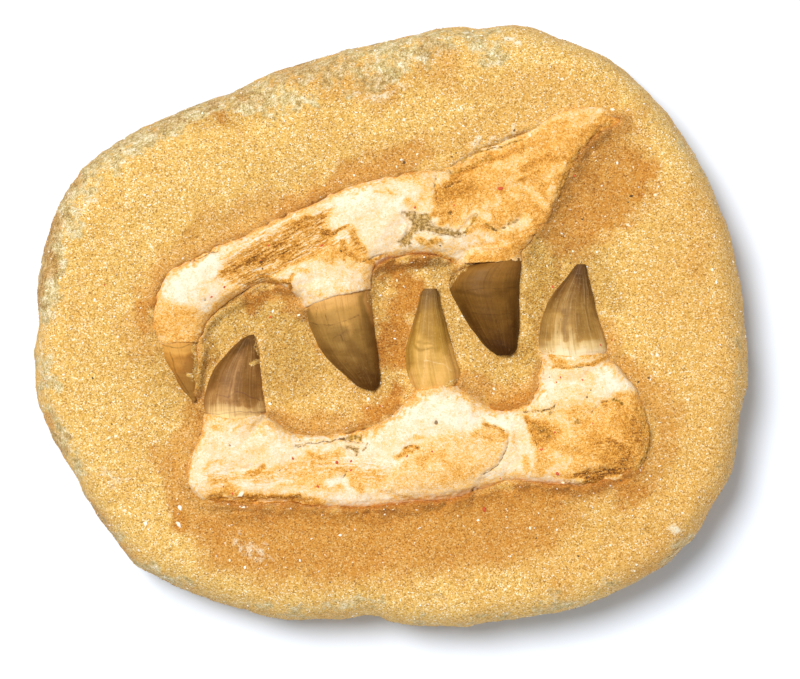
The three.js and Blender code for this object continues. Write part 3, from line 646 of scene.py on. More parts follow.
BONE_CRACKS = {
    "upper_jaw": [
        [(190, 261), (200, 257), (209, 253), (219, 250)], [(356, 264), (370, 260), (382, 255)],
        [(437, 176), (434, 190), (439, 205)], [(440, 233), (452, 236), (462, 234)],
        [(484, 227), (494, 231), (504, 229)], [(530, 238), (540, 232), (549, 226)],
        [(283, 285), (290, 285), (292, 290)], [(446, 188), (452, 184), (460, 181)],
        [(322, 229), (332, 235), (340, 230)], [(296, 226), (298, 220)],
    ],
    "lower_jaw": [
        [(484, 423), (498, 427), (509, 433), (506, 450), (498, 464), (490, 470), (481, 474)],
        [(404, 448), (410, 445), (420, 448)], [(348, 471), (343, 478)], [(531, 432), (536, 446), (541, 454)],
        [(523, 411), (540, 411), (552, 408), (556, 404)], [(296, 446), (308, 443), (330, 441), (345, 437)],
        [(590, 413), (600, 402), (606, 400)], [(580, 471), (600, 468), (630, 469)], [(222, 505), (246, 505)],
        [(472, 492), (474, 488), (478, 490)], [(550, 367), (562, 368), (574, 367), (590, 365)],
        [(338, 438), (350, 441), (362, 442), (369, 444)],
    ],
}
PITS = {
    "upper_jaw": [(451, 213, 0.5), (206, 301, 0.1)],
    "lower_jaw": [(436, 422, 0.62), (231, 445, 0.3), (586, 397, 0.3)],
}
# Steps in the bone's surface: height, the half width or the edge's softness, and where.
BONE_STEPS = {
    "upper_jaw": [
        (-0.8, 1.6, [(217, 281), (224, 266), (236, 256), (252, 243), (270, 233), (284, 223), (298, 218),
                     (318, 212), (334, 208), (323, 228), (336, 232), (331, 244), (316, 257), (284, 272),
                     (250, 289), (217, 281)]),
        (-0.3, 2.5, [(330, 244), (338, 234), (348, 230), (361, 240), (366, 252), (374, 259), (350, 260),
                     (332, 252), (330, 244)]),
        (-0.9, 2, [(452, 172), (470, 164), (512, 150)]), (0.5, 1.2, [(455, 163), (475, 149), (520, 131)]),
        (-0.9, 1.4, [(404, 214), (412, 224), (404, 242)]),
        (-0.8, 1.4, [(414, 228), (437, 231), (458, 235), (474, 217)]),
        (-0.6, 1.3, [(484, 227), (504, 228), (520, 220)]), (0.5, 3, [(300, 292), (340, 287), (365, 283)]),
        (-0.5, 2, [(437, 206), (438, 190), (450, 183), (484, 188), (452, 200), (437, 206)]),
        (0.6, 4, [(500, 180), (540, 170)]), (0.5, 3, [(566, 118), (600, 112)]),
        (-0.7, 3, [(600, 134), (572, 168), (556, 208)]),
    ],
    "lower_jaw": [
        (0.8, 1.3, [(412, 452), (430, 440), (470, 431), (486, 424), (509, 434), (505, 450), (492, 468),
                    (470, 487), (420, 500), (386, 490), (400, 460), (412, 452)]),
        (-0.5, 2, [(515, 425), (522, 460)]), (-0.7, 0.9, [(338, 438), (361, 434), (362, 441), (338, 438)]),
        (-0.6, 1.2, [(347, 448), (356, 454)]),
        (-0.6, 1.6, [(526, 416), (546, 418), (552, 438), (532, 432), (526, 416)]),
        (0.5, 1.2, [(545, 372), (608, 358), (638, 391), (600, 398), (552, 408), (545, 372)]),
        (-0.8, 1.1, [(575, 423), (581, 423)]), (-0.9, 1.8, [(578, 476), (612, 472)]),
        (-0.7, 1.6, [(614, 400), (622, 402)]), (-0.5, 2, [(230, 470), (262, 467)]),
        (-0.8, 2, [(212, 500), (300, 502)]), (0.4, 4, [(560, 440), (600, 450)]),
    ],
}
FIBRE_DEPTH = 0.12


def surface_links(mesh):
    """The two ends of each edge."""
    edges = np.zeros(len(mesh.edges) * 2, int)
    mesh.edges.foreach_get("vertices", edges)
    return edges.reshape(-1, 2)


def relaxed(points, links, rounds):
    """Points drawn to the middle of their neighbours, then nearly as far out again, to keep their bulk."""
    count = np.bincount(links.ravel(), minlength=len(points))[:, None]
    for k in range(2 * rounds):
        total = np.zeros_like(points)
        for axis in range(points.shape[1]):
            total[:, axis] = (np.bincount(links[:, 0], points[links[:, 1], axis], len(points))
                              + np.bincount(links[:, 1], points[links[:, 0], axis], len(points)))
        points = points + (total / count - points) * (0.6 if k % 2 == 0 else -0.5)
    return points


def places_of(mesh):
    """The places of a mesh's vertices, in millimetres."""
    values = np.zeros(len(mesh.vertices) * 3, np.float32)
    mesh.vertices.foreach_get("co", values)
    return values.reshape(-1, 3).astype(float) / MM


def normals_of(mesh):
    """The normals at a mesh's vertices."""
    values = np.zeros(len(mesh.vertices) * 3, np.float32)
    mesh.vertex_normals.foreach_get("vector", values)
    return values.reshape(-1, 3).astype(float)


def fibres(points, run, seed):
    """Noise drawn out along the bone."""
    along = points[:, 0] * math.cos(run) + points[:, 1] * math.sin(run)
    across = points[:, 1] * math.cos(run) - points[:, 0] * math.sin(run)
    stretched = np.column_stack([along * 0.16, across, points[:, 2]])
    return lumps(stretched, 1.1, seed)


def from_foot(points):
    """How far each point is, as seen from above, from where the bone meets the sand."""
    foot = points[np.abs(points[:, 2] - FOOT_LEVEL) < 0.5]
    tree = KDTree(len(foot))
    for k, (x, y, _) in enumerate(foot):
        tree.insert((x, y, 0), k)
    tree.balance()
    return np.array([tree.find((x, y, 0))[2] for x, y, _ in points])


def joined_mesh(node):
    """A copy of a CAD node's mesh, with its triangles joined."""
    body = bmesh.new()
    body.from_mesh(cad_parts[node].data)
    bmesh.ops.remove_doubles(body, verts=body.verts, dist=1e-6)
    return body


def plugged_jaw(name, teeth):
    """The CAD's jaw with its sockets filled by the roots of its teeth."""
    body = joined_mesh(name)
    for tooth in teeth:
        root = joined_mesh(tooth)
        edge_a, edge_b = (np.array(edge) + DRAWING_SHIFT for edge in TOOTH_EDGES[tooth])
        gum = (edge_a[0] + edge_b[0]) / 2
        towards = (edge_a[-1] + edge_b[-1]) / 2 - gum
        towards = towards / np.linalg.norm(towards)
        level = gum - PLUG_TOP * towards
        bmesh.ops.bisect_plane(root, geom=root.verts[:] + root.edges[:] + root.faces[:],
                               plane_co=(*(level * MM), 0), plane_no=(*towards, 0), clear_outer=True)
        bmesh.ops.holes_fill(root, edges=[e for e in root.edges if e.is_boundary])
        centre = sum((v.co for v in root.verts), Vector()) / len(root.verts)
        for v in root.verts:
            v.co = centre + (v.co - centre) * PLUG_SWELL
        plug = bpy.data.meshes.new("plug")
        root.to_mesh(plug)
        body.from_mesh(plug)
        root.free()
        bpy.data.meshes.remove(plug)
    mesh = bpy.data.meshes.new("dressed_" + name)
    body.to_mesh(mesh)
    body.free()
    return mesh


def bone(name, run, teeth):
    """The jaw, remeshed with its sockets filled by the roots, softened, and given its breaks and fibres."""
    piece = linked("dressed_" + name, plugged_jaw(name, teeth))
    remesh = piece.modifiers.new("fine", "REMESH")
    remesh.mode, remesh.voxel_size = "VOXEL", BONE_VOXEL * MM
    settle(piece)
    fine = piece.data
    fine.name = piece.name

    points = relaxed(places_of(fine), surface_links(fine), SOFTENING_ROUNDS)
    fine.vertices.foreach_set("co", (points * MM).astype(np.float32).ravel())
    fine.update()
    normals = normals_of(fine)
    facing = smooth(0.5 + normals[:, 2])
    tone = painted(points, TONE[name], 0.9, 6, ground=BARE_TONE)
    skirt = smooth(1.3 + layered(points, SKIRT_EDGE) - from_foot(points) / SKIRT_WIDTH)
    grit_and_painted_light = 0.4 + 0.16 * (normals[:, 1] - normals[:, 0])  # grit, most of it on the upper and left edges; the lower and right edges, which face away from the key light, are left paler as painted light
    tone = np.maximum(tone, grit_and_painted_light * skirt)
    worn = painted(points, WORN[name], 1.2, 3)
    grey = painted(points, GREY[name], 0.7, 8)
    low = smooth((layered(points, STUCK_EDGE, STUCK_LEVEL) - points[:, 2]) / STUCK_FADE)
    tone += (np.maximum(tone, grit_and_painted_light + 0.1) - tone) * low  # sand that sticks to the bone's foot
    shift = wander(points, 0.35)
    cracks = crack_distance(points[:, :2] + shift, BONE_CRACKS[name])
    for x, y, radius in PITS[name]:
        cracks = np.minimum(cracks, distance_to(points[:, :2], [(x, y), (x, y)]) - radius)
    sandy = smooth((tone - 0.45) / 0.5) * (1 - 0.6 * worn) * facing
    height = layered(points, BONE_RELIEF)
    for rise, reach, path in BONE_STEPS[name]:
        height += rise * covered(points[:, :2] + 1.6 * shift, path, reach)
    height += FIBRE_DEPTH * (0.5 + 1.8 * worn) * fibres(points, run, 2)
    height -= CRACK_DEPTH * np.exp(-(np.maximum(cracks, 0) / CRACK_WIDTH) ** 2)
    height += sandy * layered(points, SANDY_RELIEF)
    points = points + normals * (height * (0.25 + 0.75 * facing))[:, None]
    fine.vertices.foreach_set("co", (points * MM).astype(np.float32).ravel())
    fine.polygons.foreach_set("use_smooth", [True] * len(fine.polygons))
    scored = painted(points, SCORED[name], 0.7, 4)
    shares = {"tone": tone, "worn": worn, "grey": grey, "crack": cracks, "sandy": sandy, "scored": scored}
    add_shares(fine, shares)
    return place_piece(piece, name)


# Slab

GRID = 262  # cells across the face
RIM_STEPS = 20  # rings down the side
WIDEST_LEVEL = 17  # where the slab is widest
OUTLINE_STEPS = 1440  # directions in which its outline is read
OUTLINE_ROUNDS = 30  # how often the outline is smoothed
OUTSIDE = 200  # farther out than any edge of the slab
SAND_REACH = 14  # how far from the fossil the sand is shaped by it
LEE = (0.6, -0.8)  # the way from a bone to the side where more sand is banked
CLEAR_GAP = 1.4  # past this distance from the fossil the face follows the CAD's slab
FILL_ROUNDS = 500  # how often what lies nearer is filled in from round about it
EVEN_ROUNDS = 45  # how often the whole face is smoothed then
# The rim in profile, from the face down: shares of the rim's width and of the slab's height.
RIM_PROFILE = [
    (1, 1), (0.78, 0.985), (0.5, 0.94), (0.27, 0.86), (0.11, 0.74), (0.02, 0.58), (0, 0.425), (0.1, 0.22),
    (0.34, 0.08),
]
SLAB_TOP = 40
GAP_LEVEL = 36.3  # where the gaps round the teeth and bones are measured
BONE_GAP_LEVEL = 37.5
POCKET_LEVEL = 36.4  # the level of the face in the pockets before they are filled in
BASE_INSET = 8  # how far in from the widest place the base's edge lies
RIM_WIDTH = 11
BROAD_RIMS = [(2.25, 0.55, 11), (1.25, 0.16, 8), (-1.95, 0.35, 5)]  # direction, spread, added width

BANK_HEIGHT = 1.9  # of the sand against the bones
RUSTY_BANK = 2.2  # how much higher it is where the rust and painted-shade strokes lie
CREEP_HEIGHT = 0.35  # of the sand that creeps up on bones and teeth
# Layers of unevenness: the height, size and seed of each.
FACE_RELIEF = [(0.5, 15, 1), (0.26, 6, 2), (0.15, 2.8, 3)]
SIDE_RELIEF = [(0.5, 13, 1), (0.3, 5, 2), (0.18, 2.4, 3)]
BANK_LUMPS = [(0.3, 3.5, 12), (0.16, 1.8, 13)]
CREEP_LUMPS = [(0.4, 3.5, 14), (0.25, 1.5, 15)]

RUST_AND_SHADE = [  # iron-stained, browner sand; the strokes along the rear piece's lower-right side, under the upper jaw's lower edge and above the lower jaw are partly painted shade
    (0.6, 2.4, [(212, 102), (220, 114)]), (0.45, 4, [(274, 86), (300, 74)]),
    (0.35, 4, [(330, 64), (374, 58)]), (0.45, 3, [(236, 100), (262, 96)]), (0.4, 4, [(62, 196), (76, 180)]),
    (0.35, 4, [(150, 130), (176, 122)]), (0.45, 3, [(424, 46), (446, 52)]), (0.5, 4, [(50, 420), (60, 452)]),
    (0.5, 5, [(86, 504), (120, 556)]), (0.95, 11, [(606, 160), (594, 196), (580, 222)]),
    (0.8, 5, [(52, 222), (46, 262), (43, 300)]), (0.5, 3, [(452, 270), (464, 264)]),
    (0.4, 30, [(700, 230), (712, 350), (690, 470), (640, 540)]),
    (0.16, 40, [(690, 160), (740, 330), (690, 470), (560, 590), (380, 600), (250, 560), (400, 530),
                (600, 480), (640, 330), (640, 200), (690, 160)]),
    (0.12, 16, [(160, 420), (300, 360), (380, 400), (250, 425), (160, 420)]),
    (0.7, 8, [(196, 270), (222, 246), (262, 224), (320, 192), (345, 176), (400, 160), (446, 140)]),
    (0.45, 9, [(170, 262), (215, 228), (262, 206)]),
    (0.28, 9, [(445, 138), (480, 128), (540, 108), (600, 96)]),
    (1.1, 7, [(152, 300), (142, 313), (144, 327)]), (0.35, 9, [(132, 330), (130, 350)]),
    # these strokes along the upper jaw's rear piece, on its lower-right side, are stain and painted shade
    (0.6, 7, [(160, 270), (150, 290)]), (0.85, 14, [(632, 174), (614, 200), (592, 220), (568, 234)]),
    (1.2, 4, [(642, 174), (641, 185), (635, 198)]), (0.8, 8, [(624, 210), (596, 216), (575, 232)]),
    (0.7, 11, [(626, 124), (606, 142), (582, 172), (568, 200), (552, 226)]),
    (1.1, 8, [(380, 262), (400, 272), (412, 290), (394, 330), (392, 355)]),
    (1.1, 4, [(414, 258), (432, 261)]), (0.9, 5, [(250, 300), (275, 294), (300, 300)]),
    (0.55, 6, [(300, 300), (312, 322), (322, 340)]),
    # painted contact shade on the sand just above the lower jaw's upper edge
    (0.6, 8, [(270, 426), (330, 428), (372, 418), (396, 398)]),
    (1.15, 4.5, [(372, 418), (392, 406), (402, 388)]), (0.2, 10, [(290, 380), (350, 392)]),
    (0.65, 7, [(466, 384), (500, 402), (536, 390), (546, 372)]), (1, 3, [(500, 404), (530, 398)]),
    (1.1, 10, [(190, 512), (260, 526), (400, 520), (500, 500), (600, 492), (648, 474)]),
    (1.2, 6, [(330, 520), (400, 514), (470, 504), (520, 490)]),
    (0.8, 18, [(230, 540), (330, 552), (450, 540), (580, 522)]),
    (0.6, 8, [(610, 352), (636, 380), (660, 400), (668, 430), (652, 476)]),
    (0.65, 9, [(168, 462), (180, 488), (205, 508)]), (0.6, 5, [(198, 402), (186, 430), (180, 455)]),
    (0.3, 8, [(470, 92), (560, 78)]), (0.3, 14, [(600, 520), (560, 570)]),
    (0.35, 7, [(196, 340), (204, 356)]), (0.45, 5, [(700, 246), (690, 272)]),
    (0.4, 10, [(280, 62), (330, 78), (380, 96)]), (0.35, 8, [(430, 60), (450, 80)]),
    (0.4, 6, [(600, 330), (612, 350)]),
]
OLIVE = [  # greener, rougher sand inside the carved hollow
    (0.68, 8, [(206, 338), (232, 304), (262, 302), (296, 306), (318, 350), (330, 380), (290, 398),
               (268, 380), (262, 345), (250, 335), (220, 350), (206, 338)]),
    (0.9, 4, [(200, 396), (204, 370), (214, 350)]), (0.7, 6, [(184, 400), (196, 412)]),
    (0.45, 8, [(385, 330), (386, 385)]), (0.5, 9, [(606, 140), (584, 170), (570, 196), (554, 226)]),
    (0.4, 9, [(462, 330), (490, 370), (520, 366)]),
    (0.85, 7, [(530, 244), (546, 262), (536, 310), (530, 350)]), (0.5, 9, [(200, 112), (262, 106)]),
    (0.5, 10, [(560, 240), (590, 262), (612, 300)]), (0.4, 5, [(440, 240), (452, 330)]),
    (0.6, 3, [(386, 276), (376, 300), (380, 330)]), (0.7, 5, [(228, 306), (262, 294)]),
    (0.35, 12, [(150, 360), (172, 400)]),
]
CRUST = [  # grey weathered skin of the stone
    (0.3, 5, [(46, 300), (38, 350), (42, 392), (62, 450)]),
    (0.25, 6, [(150, 584), (210, 606), (280, 618), (350, 618)]),
    (0.3, 5, [(410, 626), (480, 624), (560, 610), (630, 590), (690, 545)]),
    (0.3, 5, [(742, 330), (742, 420), (724, 500)]),
    (0.8, 9, [(56, 212), (70, 186), (100, 158), (140, 136), (190, 108), (232, 92)]),
    (1.1, 9, [(52, 222), (46, 262), (44, 300)]),
    (0.66, 10, [(232, 92), (262, 84), (300, 66), (352, 54), (400, 46), (440, 40)]),
    (0.7, 5, [(240, 104), (275, 108), (330, 92), (400, 74)]), (0.6, 4, [(330, 66), (380, 60), (430, 56)]),
    (0.9, 5, [(470, 44), (492, 50), (500, 62)]), (0.5, 5, [(455, 36), (500, 32)]),
    (0.6, 3.5, [(95, 176), (120, 160), (134, 156)]), (0.6, 3, [(80, 206), (76, 232)]),
    (0.8, 5, [(46, 360), (54, 384)]), (0.7, 5, [(56, 420), (66, 448), (74, 470)]),
    (0.75, 6, [(84, 500), (104, 536), (126, 564)]), (0.6, 5, [(140, 568), (170, 582), (186, 584)]),
    (0.4, 3, [(306, 606), (340, 602), (388, 600)]), (0.4, 4, [(262, 608), (306, 614)]),
    (0.7, 5, [(640, 588), (664, 566), (690, 544)]), (0.45, 5, [(528, 612), (600, 598)]),
    (0.35, 6, [(690, 130), (720, 200)]),
]
PALE = [  # chalky spots
    (0.44, 1.2, [(455, 163), (470, 153), (497, 140), (516, 132), (534, 126)]),
    (0.85, 2.4, [(510, 40), (518, 43)]), (0.7, 2.6, [(672, 532), (680, 526)]),
    (0.6, 2, [(128, 154), (134, 156)]), (0.4, 3, [(376, 100), (400, 90)]), (0.5, 2, [(350, 96), (365, 102)]),
    (0.45, 2, [(82, 206), (86, 204)]), (0.4, 3, [(420, 62), (434, 58)]), (0.35, 4, [(96, 470), (118, 484)]),
    (0.3, 4, [(240, 545), (262, 552)]),
]
# Carved dips and ridges of the slab's face: height, half width and where.
CARVED = [
    (-0.4, 5, [(626, 117), (604, 142), (584, 170), (568, 200), (552, 228)]),
    (0.7, 6, [(236, 540), (300, 562)]), (-1.5, 2.4, [(60, 446), (68, 452), (76, 470)]),
    (-1, 1.4, [(404, 163), (405, 163)]), (-0.8, 6, [(645, 165), (650, 200)]),
    (0.6, 6, [(705, 245), (690, 280)]), (0.7, 7, [(650, 520), (690, 500)]),
    (-0.6, 6, [(180, 560), (250, 590)]), (-1.8, 3, [(385, 620), (392, 606), (404, 602), (440, 600)]),
    (-0.8, 4, [(96, 210), (150, 165)]), (-0.9, 3, [(240, 110), (330, 82)]),
    (2.6, 2.2, [(203, 350), (200, 372), (197, 394)]), (-1.2, 1.6, [(166, 376), (184, 394)]),
    (-0.5, 2.5, [(250, 296), (290, 293), (300, 300)]),
    (1.2, 1.8, [(206, 327), (215, 318), (229, 309), (244, 300)]),
    (2.2, 2.6, [(384, 265), (410, 259), (446, 260)]), (2.4, 3, [(452, 269), (462, 264), (472, 262)]),
    (1, 1.5, [(262, 345), (262, 370), (266, 392)]), (1.2, 1.8, [(153, 288), (146, 308), (149, 338)]),
    (1.2, 1.8, [(196, 424), (188, 450), (182, 474), (189, 495)]),
    (-0.7, 2.4, [(372, 300), (380, 340), (382, 384)]),
]


def rim_width(angle):
    """How far the rounded rim reaches in from the edge, at each angle."""
    width = np.full(angle.shape, float(RIM_WIDTH))
    for towards, spread, more in BROAD_RIMS:
        turn = (angle - towards + math.pi) % (2 * math.pi) - math.pi
        width += more * np.exp(-(turn / spread) ** 2)
    return width


def edge_reach(solid):
    """The slab's widest outline, read off the CAD's slab, as reach at evenly spaced angles."""
    angle = np.linspace(-math.pi, math.pi, OUTLINE_STEPS, endpoint=False)
    reach = []
    for a in angle:
        outside = Vector((OUTSIDE * math.cos(a), OUTSIDE * math.sin(a), WIDEST_LEVEL))
        hit = solid.ray_cast(outside, Vector((-math.cos(a), -math.sin(a), 0)))[0]
        reach.append(math.hypot(hit.x, hit.y))
    reach = np.array(reach)
    for _ in range(OUTLINE_ROUNDS):
        reach = (np.roll(reach, 1) + 2 * reach + np.roll(reach, -1)) / 4
    return np.append(angle, math.pi), np.append(reach, reach[0])


def evened(values, rounds, held=None):
    """A grid of values, each drawn to its neighbours' mean. Places in held keep their value."""
    for _ in range(rounds):
        padded = np.pad(values, 1, mode="edge")
        mean = (padded[:-2, 1:-1] + padded[2:, 1:-1] + padded[1:-1, :-2] + padded[1:-1, 2:]) / 4
        values = mean if held is None else np.where(held, values, mean)
    return values


def ground_at(places, solid, fossil, bones):
    """At each place: the CAD's level, whether it is in the fossil, gaps to fossil and bones, and its lee."""
    rock, inside, gap, bone_gap, lee = [], [], [], [], []
    for px, py in places:
        hit = top_at(solid, px, py)
        rock.append(hit.z if hit else SLAB_TOP)
        inside.append(fossil.ray_cast(Vector((px, py, BELOW_ALL)), Vector((0, 0, 1)))[0] is not None)
        near = fossil.find_nearest(Vector((px, py, GAP_LEVEL)), SAND_REACH)[3]
        gap.append(SAND_REACH if near is None else near)
        spot, _, _, near = bones.find_nearest(Vector((px, py, BONE_GAP_LEVEL)), SAND_REACH)
        near = SAND_REACH if near is None else near
        bone_gap.append(near)
        behind = LEE[0] * (px - spot.x) + LEE[1] * (py - spot.y) if spot else 0
        lee.append(max(0, behind / max(near, 0.1)))
    return [np.array(values) for values in (rock, inside, gap, bone_gap, lee)]


def slab_shares(points):
    """What is painted on the slab's stone."""
    paints = (("rust_and_shade", RUST_AND_SHADE, 2), ("olive", OLIVE, 4), ("crust", CRUST, 6), ("pale", PALE, 9))
    return {label: painted(points, strokes, 3, seed) for label, strokes, seed in paints}


def face_detail(points, shares):
    """How far lumps, crust and carving lift the face."""
    detail = layered(points, FACE_RELIEF)
    detail += (0.1 + 0.12 * shares["olive"]) * lumps(points, 1.6, 4)
    detail += shares["crust"] * (0.55 - 1.1 * np.abs(lumps(points, 5.5, 8)) + 0.35 * lumps(points, 2.4, 9))
    for rise, reach, path in CARVED:
        detail += rise * covered(points[:, :2], path, reach)
    return detail


def banked_sand(points, shares, close, bone_gap, lee):
    """How high sand is banked against the bones and creeps up on bones and teeth."""
    banked = (BANK_HEIGHT + RUSTY_BANK * shares["rust_and_shade"]) * layered(points, BANK_LUMPS, 1)
    banked = banked * (1 + 0.7 * lee) * np.exp(-bone_gap / (2.2 + 1.3 * lee))
    creep = layered(points, CREEP_LUMPS, CREEP_HEIGHT)
    return np.maximum(banked, creep * np.exp(-close / 1.2))


def slab_side(height, turn, widest):
    """Rings of places down the slab's side, and the share of its height at which each lies."""
    width = rim_width(turn)
    steps = curve_through(np.array(RIM_PROFILE), np.linspace(0, 1, RIM_STEPS + 1)[1:])
    rings = []
    for inset, share in steps:
        below = share < WIDEST_LEVEL / SLAB_TOP
        far = widest - max(inset, 0) * (BASE_INSET if below else width)
        lift = (height - SLAB_TOP) * smooth((share - 0.5) / 0.5)
        rings.append(np.column_stack([far * np.cos(turn), far * np.sin(turn), SLAB_TOP * share + lift]))
    return np.concatenate(rings), np.repeat(steps[:, 1], len(turn))


def roughened_side(side, share, turn, crust):
    """The side's places pushed out and in by lumps, and the more so the more its skin is weathered."""
    rough = layered(side, SIDE_RELIEF)
    rough += (0.15 + 0.35 * crust) * (0.5 - 1.2 * np.abs(lumps(side, 5.5, 8)))
    slope = smooth((share - 0.55) / 0.45)
    ring = np.repeat(np.arange(1, RIM_STEPS + 1), len(turn))
    fade = smooth(ring / 3) * smooth(share / 0.15)
    turn = np.tile(turn, RIM_STEPS)
    outwards = np.column_stack([np.cos(turn) * (1 - slope), np.sin(turn) * (1 - slope), slope])
    return side + outwards * (rough * fade)[:, None]


def slab_faces(index, border, rings):
    """Faces over the grid, down the rings round it, and from the last ring to one last point."""
    corners = [index[:-1, :-1], index[:-1, 1:], index[1:, 1:], index[1:, :-1]]
    faces = np.stack(corners, -1).reshape(-1, 4).tolist()
    ring = border
    for k in range(rings):
        outer = index.size + k * len(border) + np.arange(len(border))
        faces += np.stack([ring, outer, np.roll(outer, -1), np.roll(ring, -1)], -1).tolist()
        ring = outer
    middle = index.size + rings * len(border)
    return faces + [[int(p), middle, int(q)] for p, q in zip(ring, np.roll(ring, -1))]


def slab(fossil, bones):
    """The slab: a grid on its face, which runs on inside the fossil's foot, and rings down its side."""
    solid = tree_of(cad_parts["sandstone_slab"])
    angles, reaches = edge_reach(solid)
    line = np.linspace(-1, 1, GRID + 1)
    a, b = np.meshgrid(line, line)
    x, y = a * np.sqrt(1 - b * b / 2), b * np.sqrt(1 - a * a / 2)
    turn = np.arctan2(y, x)
    reach = np.interp(turn, angles, reaches) - rim_width(turn)
    x, y = x * reach, y * reach
    places = np.column_stack([x.ravel(), y.ravel()])
    rock, inside, gap, bone_gap, lee = ground_at(places, solid, fossil, bones)
    known = (~inside & (gap > CLEAR_GAP)).reshape(x.shape)
    rock = np.where(known, rock.reshape(x.shape), POCKET_LEVEL)
    rock = evened(evened(rock, FILL_ROUNDS, known), EVEN_ROUNDS).ravel()

    points = np.column_stack([places, rock])
    shares = slab_shares(points)
    close = np.where(inside, 0, gap)
    height = rock + face_detail(points, shares) + banked_sand(points, shares, close, bone_gap, lee)
    face = np.column_stack([places, height])

    # The edge of the grid in order, then the rings down the side and the flat base.
    index = np.arange(x.size).reshape(x.shape)
    border = np.concatenate([index[0, :-1], index[:-1, -1], index[-1, :0:-1], index[:0:-1, 0]])
    turn = np.arctan2(face[border, 1], face[border, 0])
    widest = np.interp(turn, angles, reaches)
    side, share = slab_side(height[border], turn, widest)
    side_shares = slab_shares(side)
    side = roughened_side(side, share, turn, side_shares["crust"])
    foot = (widest - BASE_INSET)[:, None] * np.column_stack([np.cos(turn), np.sin(turn), 0 * turn])
    base = [foot * s for s in (1, 0.75, 0.45, 0.2)]
    points = np.vstack([face, side, *base, [[0, 0, 0]]])
    faces = slab_faces(index, border, RIM_STEPS + len(base))

    tail = np.zeros(len(points) - len(face) - len(side))
    everywhere = {label: np.concatenate([shares[label], side_shares[label], tail]) for label in shares}
    # Painted contact shade: the sand within about 2 mm of the fossil is darkened.
    everywhere["close"] = np.concatenate([np.exp(-(close / 1.6) ** 2), 0 * share, tail])
    # The rim darkens down the side towards the base. This is weathering, plus painted shade where the rim
    # curves away. It darkens least on the lower right, which faces away from the key light, as painted light
    # there.
    weathering_and_painted_light = 0.6 - 0.4 * np.cos(np.tile(turn, RIM_STEPS) + 0.6)
    everywhere["rim"] = np.concatenate([np.zeros(len(face)), (1 - share) * weathering_and_painted_light, tail + 1])
    everywhere["open"] = np.concatenate([1.0 - inside, 0.7 * smooth((share - 0.2) / 0.3), tail])
    return new_piece("dressed_slab", points, faces, everywhere, "sandstone_slab")


# Materials

GRAIN = 0.38  # grains of coarse sand, which are 0.2 to 0.8 mm across
SAND_TONES = [
    (0, "#9c742f"), (0.1, "#c09445"), (0.3, "#d6a850"), (0.6, "#e1b75f"),
    (0.84, "#e9ca86"), (0.94, "#f1e0b4"), (1, "#faf3de"),
]


def surface(name, **settings):
    """A new material with its node tree, its shader and its Object coordinates in millimetres."""
    material = bpy.data.materials.new(name)
    material.use_nodes = True
    tree = material.node_tree
    shader = tree.nodes["Principled BSDF"]
    for socket, value in settings.items():
        shader.inputs[socket.replace("_", " ")].default_value = value
    metres = add(tree, "ShaderNodeTexCoord").outputs["Object"]
    place = add(tree, "ShaderNodeVectorMath", {0: metres, "Scale": 1 / MM}, operation="SCALE")
    return material, tree, shader, place


def share_of(tree, label, gain):
    """A piece's painted share, times a gain."""
    share = add(tree, "ShaderNodeAttribute", attribute_name=label).outputs["Fac"]
    return add(tree, "ShaderNodeMath", {0: share, 1: gain}, operation="MULTIPLY")


def broken_share(tree, label, pattern, spread, sharp, most=1.0):
    """A painted share whose edge is broken up by a pattern."""
    share = add(tree, "ShaderNodeAttribute", attribute_name=label).outputs["Fac"]
    centred = add(tree, "ShaderNodeMath", {0: pattern, 1: 0.5}, operation="SUBTRACT")
    moved = add(tree, "ShaderNodeMath", {0: centred, 1: spread, 2: share}, operation="MULTIPLY_ADD")
    lifted = add(tree, "ShaderNodeMath", {0: moved, 1: 0.5}, operation="SUBTRACT")
    steep = add(tree, "ShaderNodeMath", {0: lifted, 1: sharp, 2: 0.5}, operation="MULTIPLY_ADD",
                use_clamp=True)
    present = add(tree, "ShaderNodeMath", {0: share, 1: 5.0}, operation="MULTIPLY", use_clamp=True)
    part = add(tree, "ShaderNodeMath", {0: steep, 1: present}, operation="MULTIPLY")
    return add(tree, "ShaderNodeMath", {0: part, 1: most}, operation="MULTIPLY")


def over(tree, share, below, above, blend="MIX"):
    """A colour laid over another by a share."""
    mix = add(tree, "ShaderNodeMix", {0: share, 6: below, 7: above}, data_type="RGBA", blend_type=blend)
    return mix.outputs[2]


